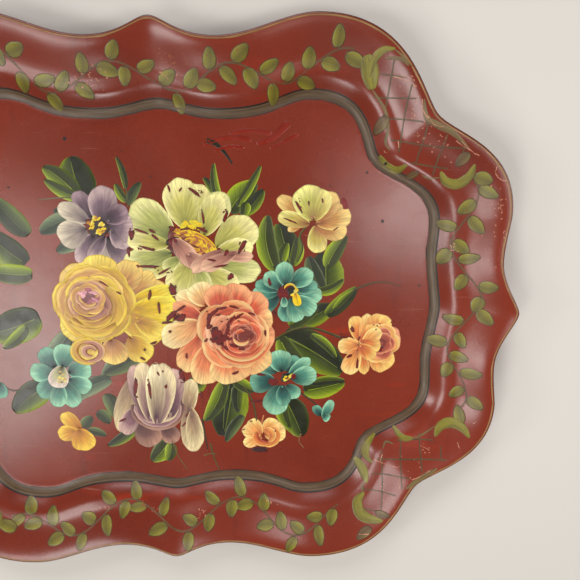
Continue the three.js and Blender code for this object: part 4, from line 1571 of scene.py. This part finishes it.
def area_light(name, place, target, size, power, colour):
    data = bpy.data.lights.new(name, "AREA")
    data.shape = "RECTANGLE"
    data.size, data.size_y = size
    data.energy = power
    data.color = colour
    light = bpy.data.objects.new(name, data)
    light.location = place
    light.rotation_euler = (Vector(target) - Vector(place)).to_track_quat("-Z", "Y").to_euler()
    scene.collection.objects.link(light)


WARM_WHITE, ROOM_WHITE, COOL_WHITE = (1.0, 0.97, 0.94), (1.0, 0.97, 0.95), (0.98, 0.98, 1.0)
area_light("window", (-0.85, -0.52, 1.5), (0, 0, 0), (0.7, 0.6), 10, WARM_WHITE)
area_light("window_low", (-0.55, -2.2, 1.4), (0, 0, 0), (0.7, 0.5), 11, WARM_WHITE)
area_light("room_right", (0.403, -0.012, 0.676), (0.1, 0, 0), (0.16, 0.28), 1.1, ROOM_WHITE)
area_light("window_side", (-2.2, -0.15, 1.3), (0, 0, 0), (0.6, 0.6), 12, WARM_WHITE)
area_light("room_top", (-0.3, 2.4, 1.5), (0, 0, 0), (1.6, 1.0), 36, COOL_WHITE)
area_light("room_side", (2.4, 0.3, 1.3), (0.2, 0, 0), (1.2, 0.9), 27, WARM_WHITE)

world = bpy.data.worlds.new("soft_room")
world.use_nodes = True
world.node_tree.nodes["Background"].inputs["Color"].default_value = (1.0, 0.95, 0.88, 1)
world.node_tree.nodes["Background"].inputs["Strength"].default_value = 0.2
scene.world = world

# Where the photo was taken from, as fitted to the tray's outline
CAMERA_PLACE = (84.5, 141.9, 482.4 + SHEET)
CAMERA_AIM = (100.9, 15.0, SHEET)
CAMERA_RIGHT = (0.99943, 0.00076, 0.03366)
LENS, SENSOR = 37.24, 36

camera_data = bpy.data.cameras.new("camera")
camera_data.sensor_width = SENSOR
camera_data.lens = LENS
camera_data.clip_start = 0.01
camera = bpy.data.objects.new("camera", camera_data)
camera_place = Vector(CAMERA_PLACE) * MM
camera_aim = Vector(CAMERA_AIM) * MM
back = (camera_place - camera_aim).normalized()
right = Vector(CAMERA_RIGHT).normalized()
up = back.cross(right).normalized()
right = up.cross(back).normalized()
camera.matrix_world = Matrix.Translation(camera_place) @ Matrix((right, up, back)).transposed().to_4x4()
scene.collection.objects.link(camera)
scene.camera = camera
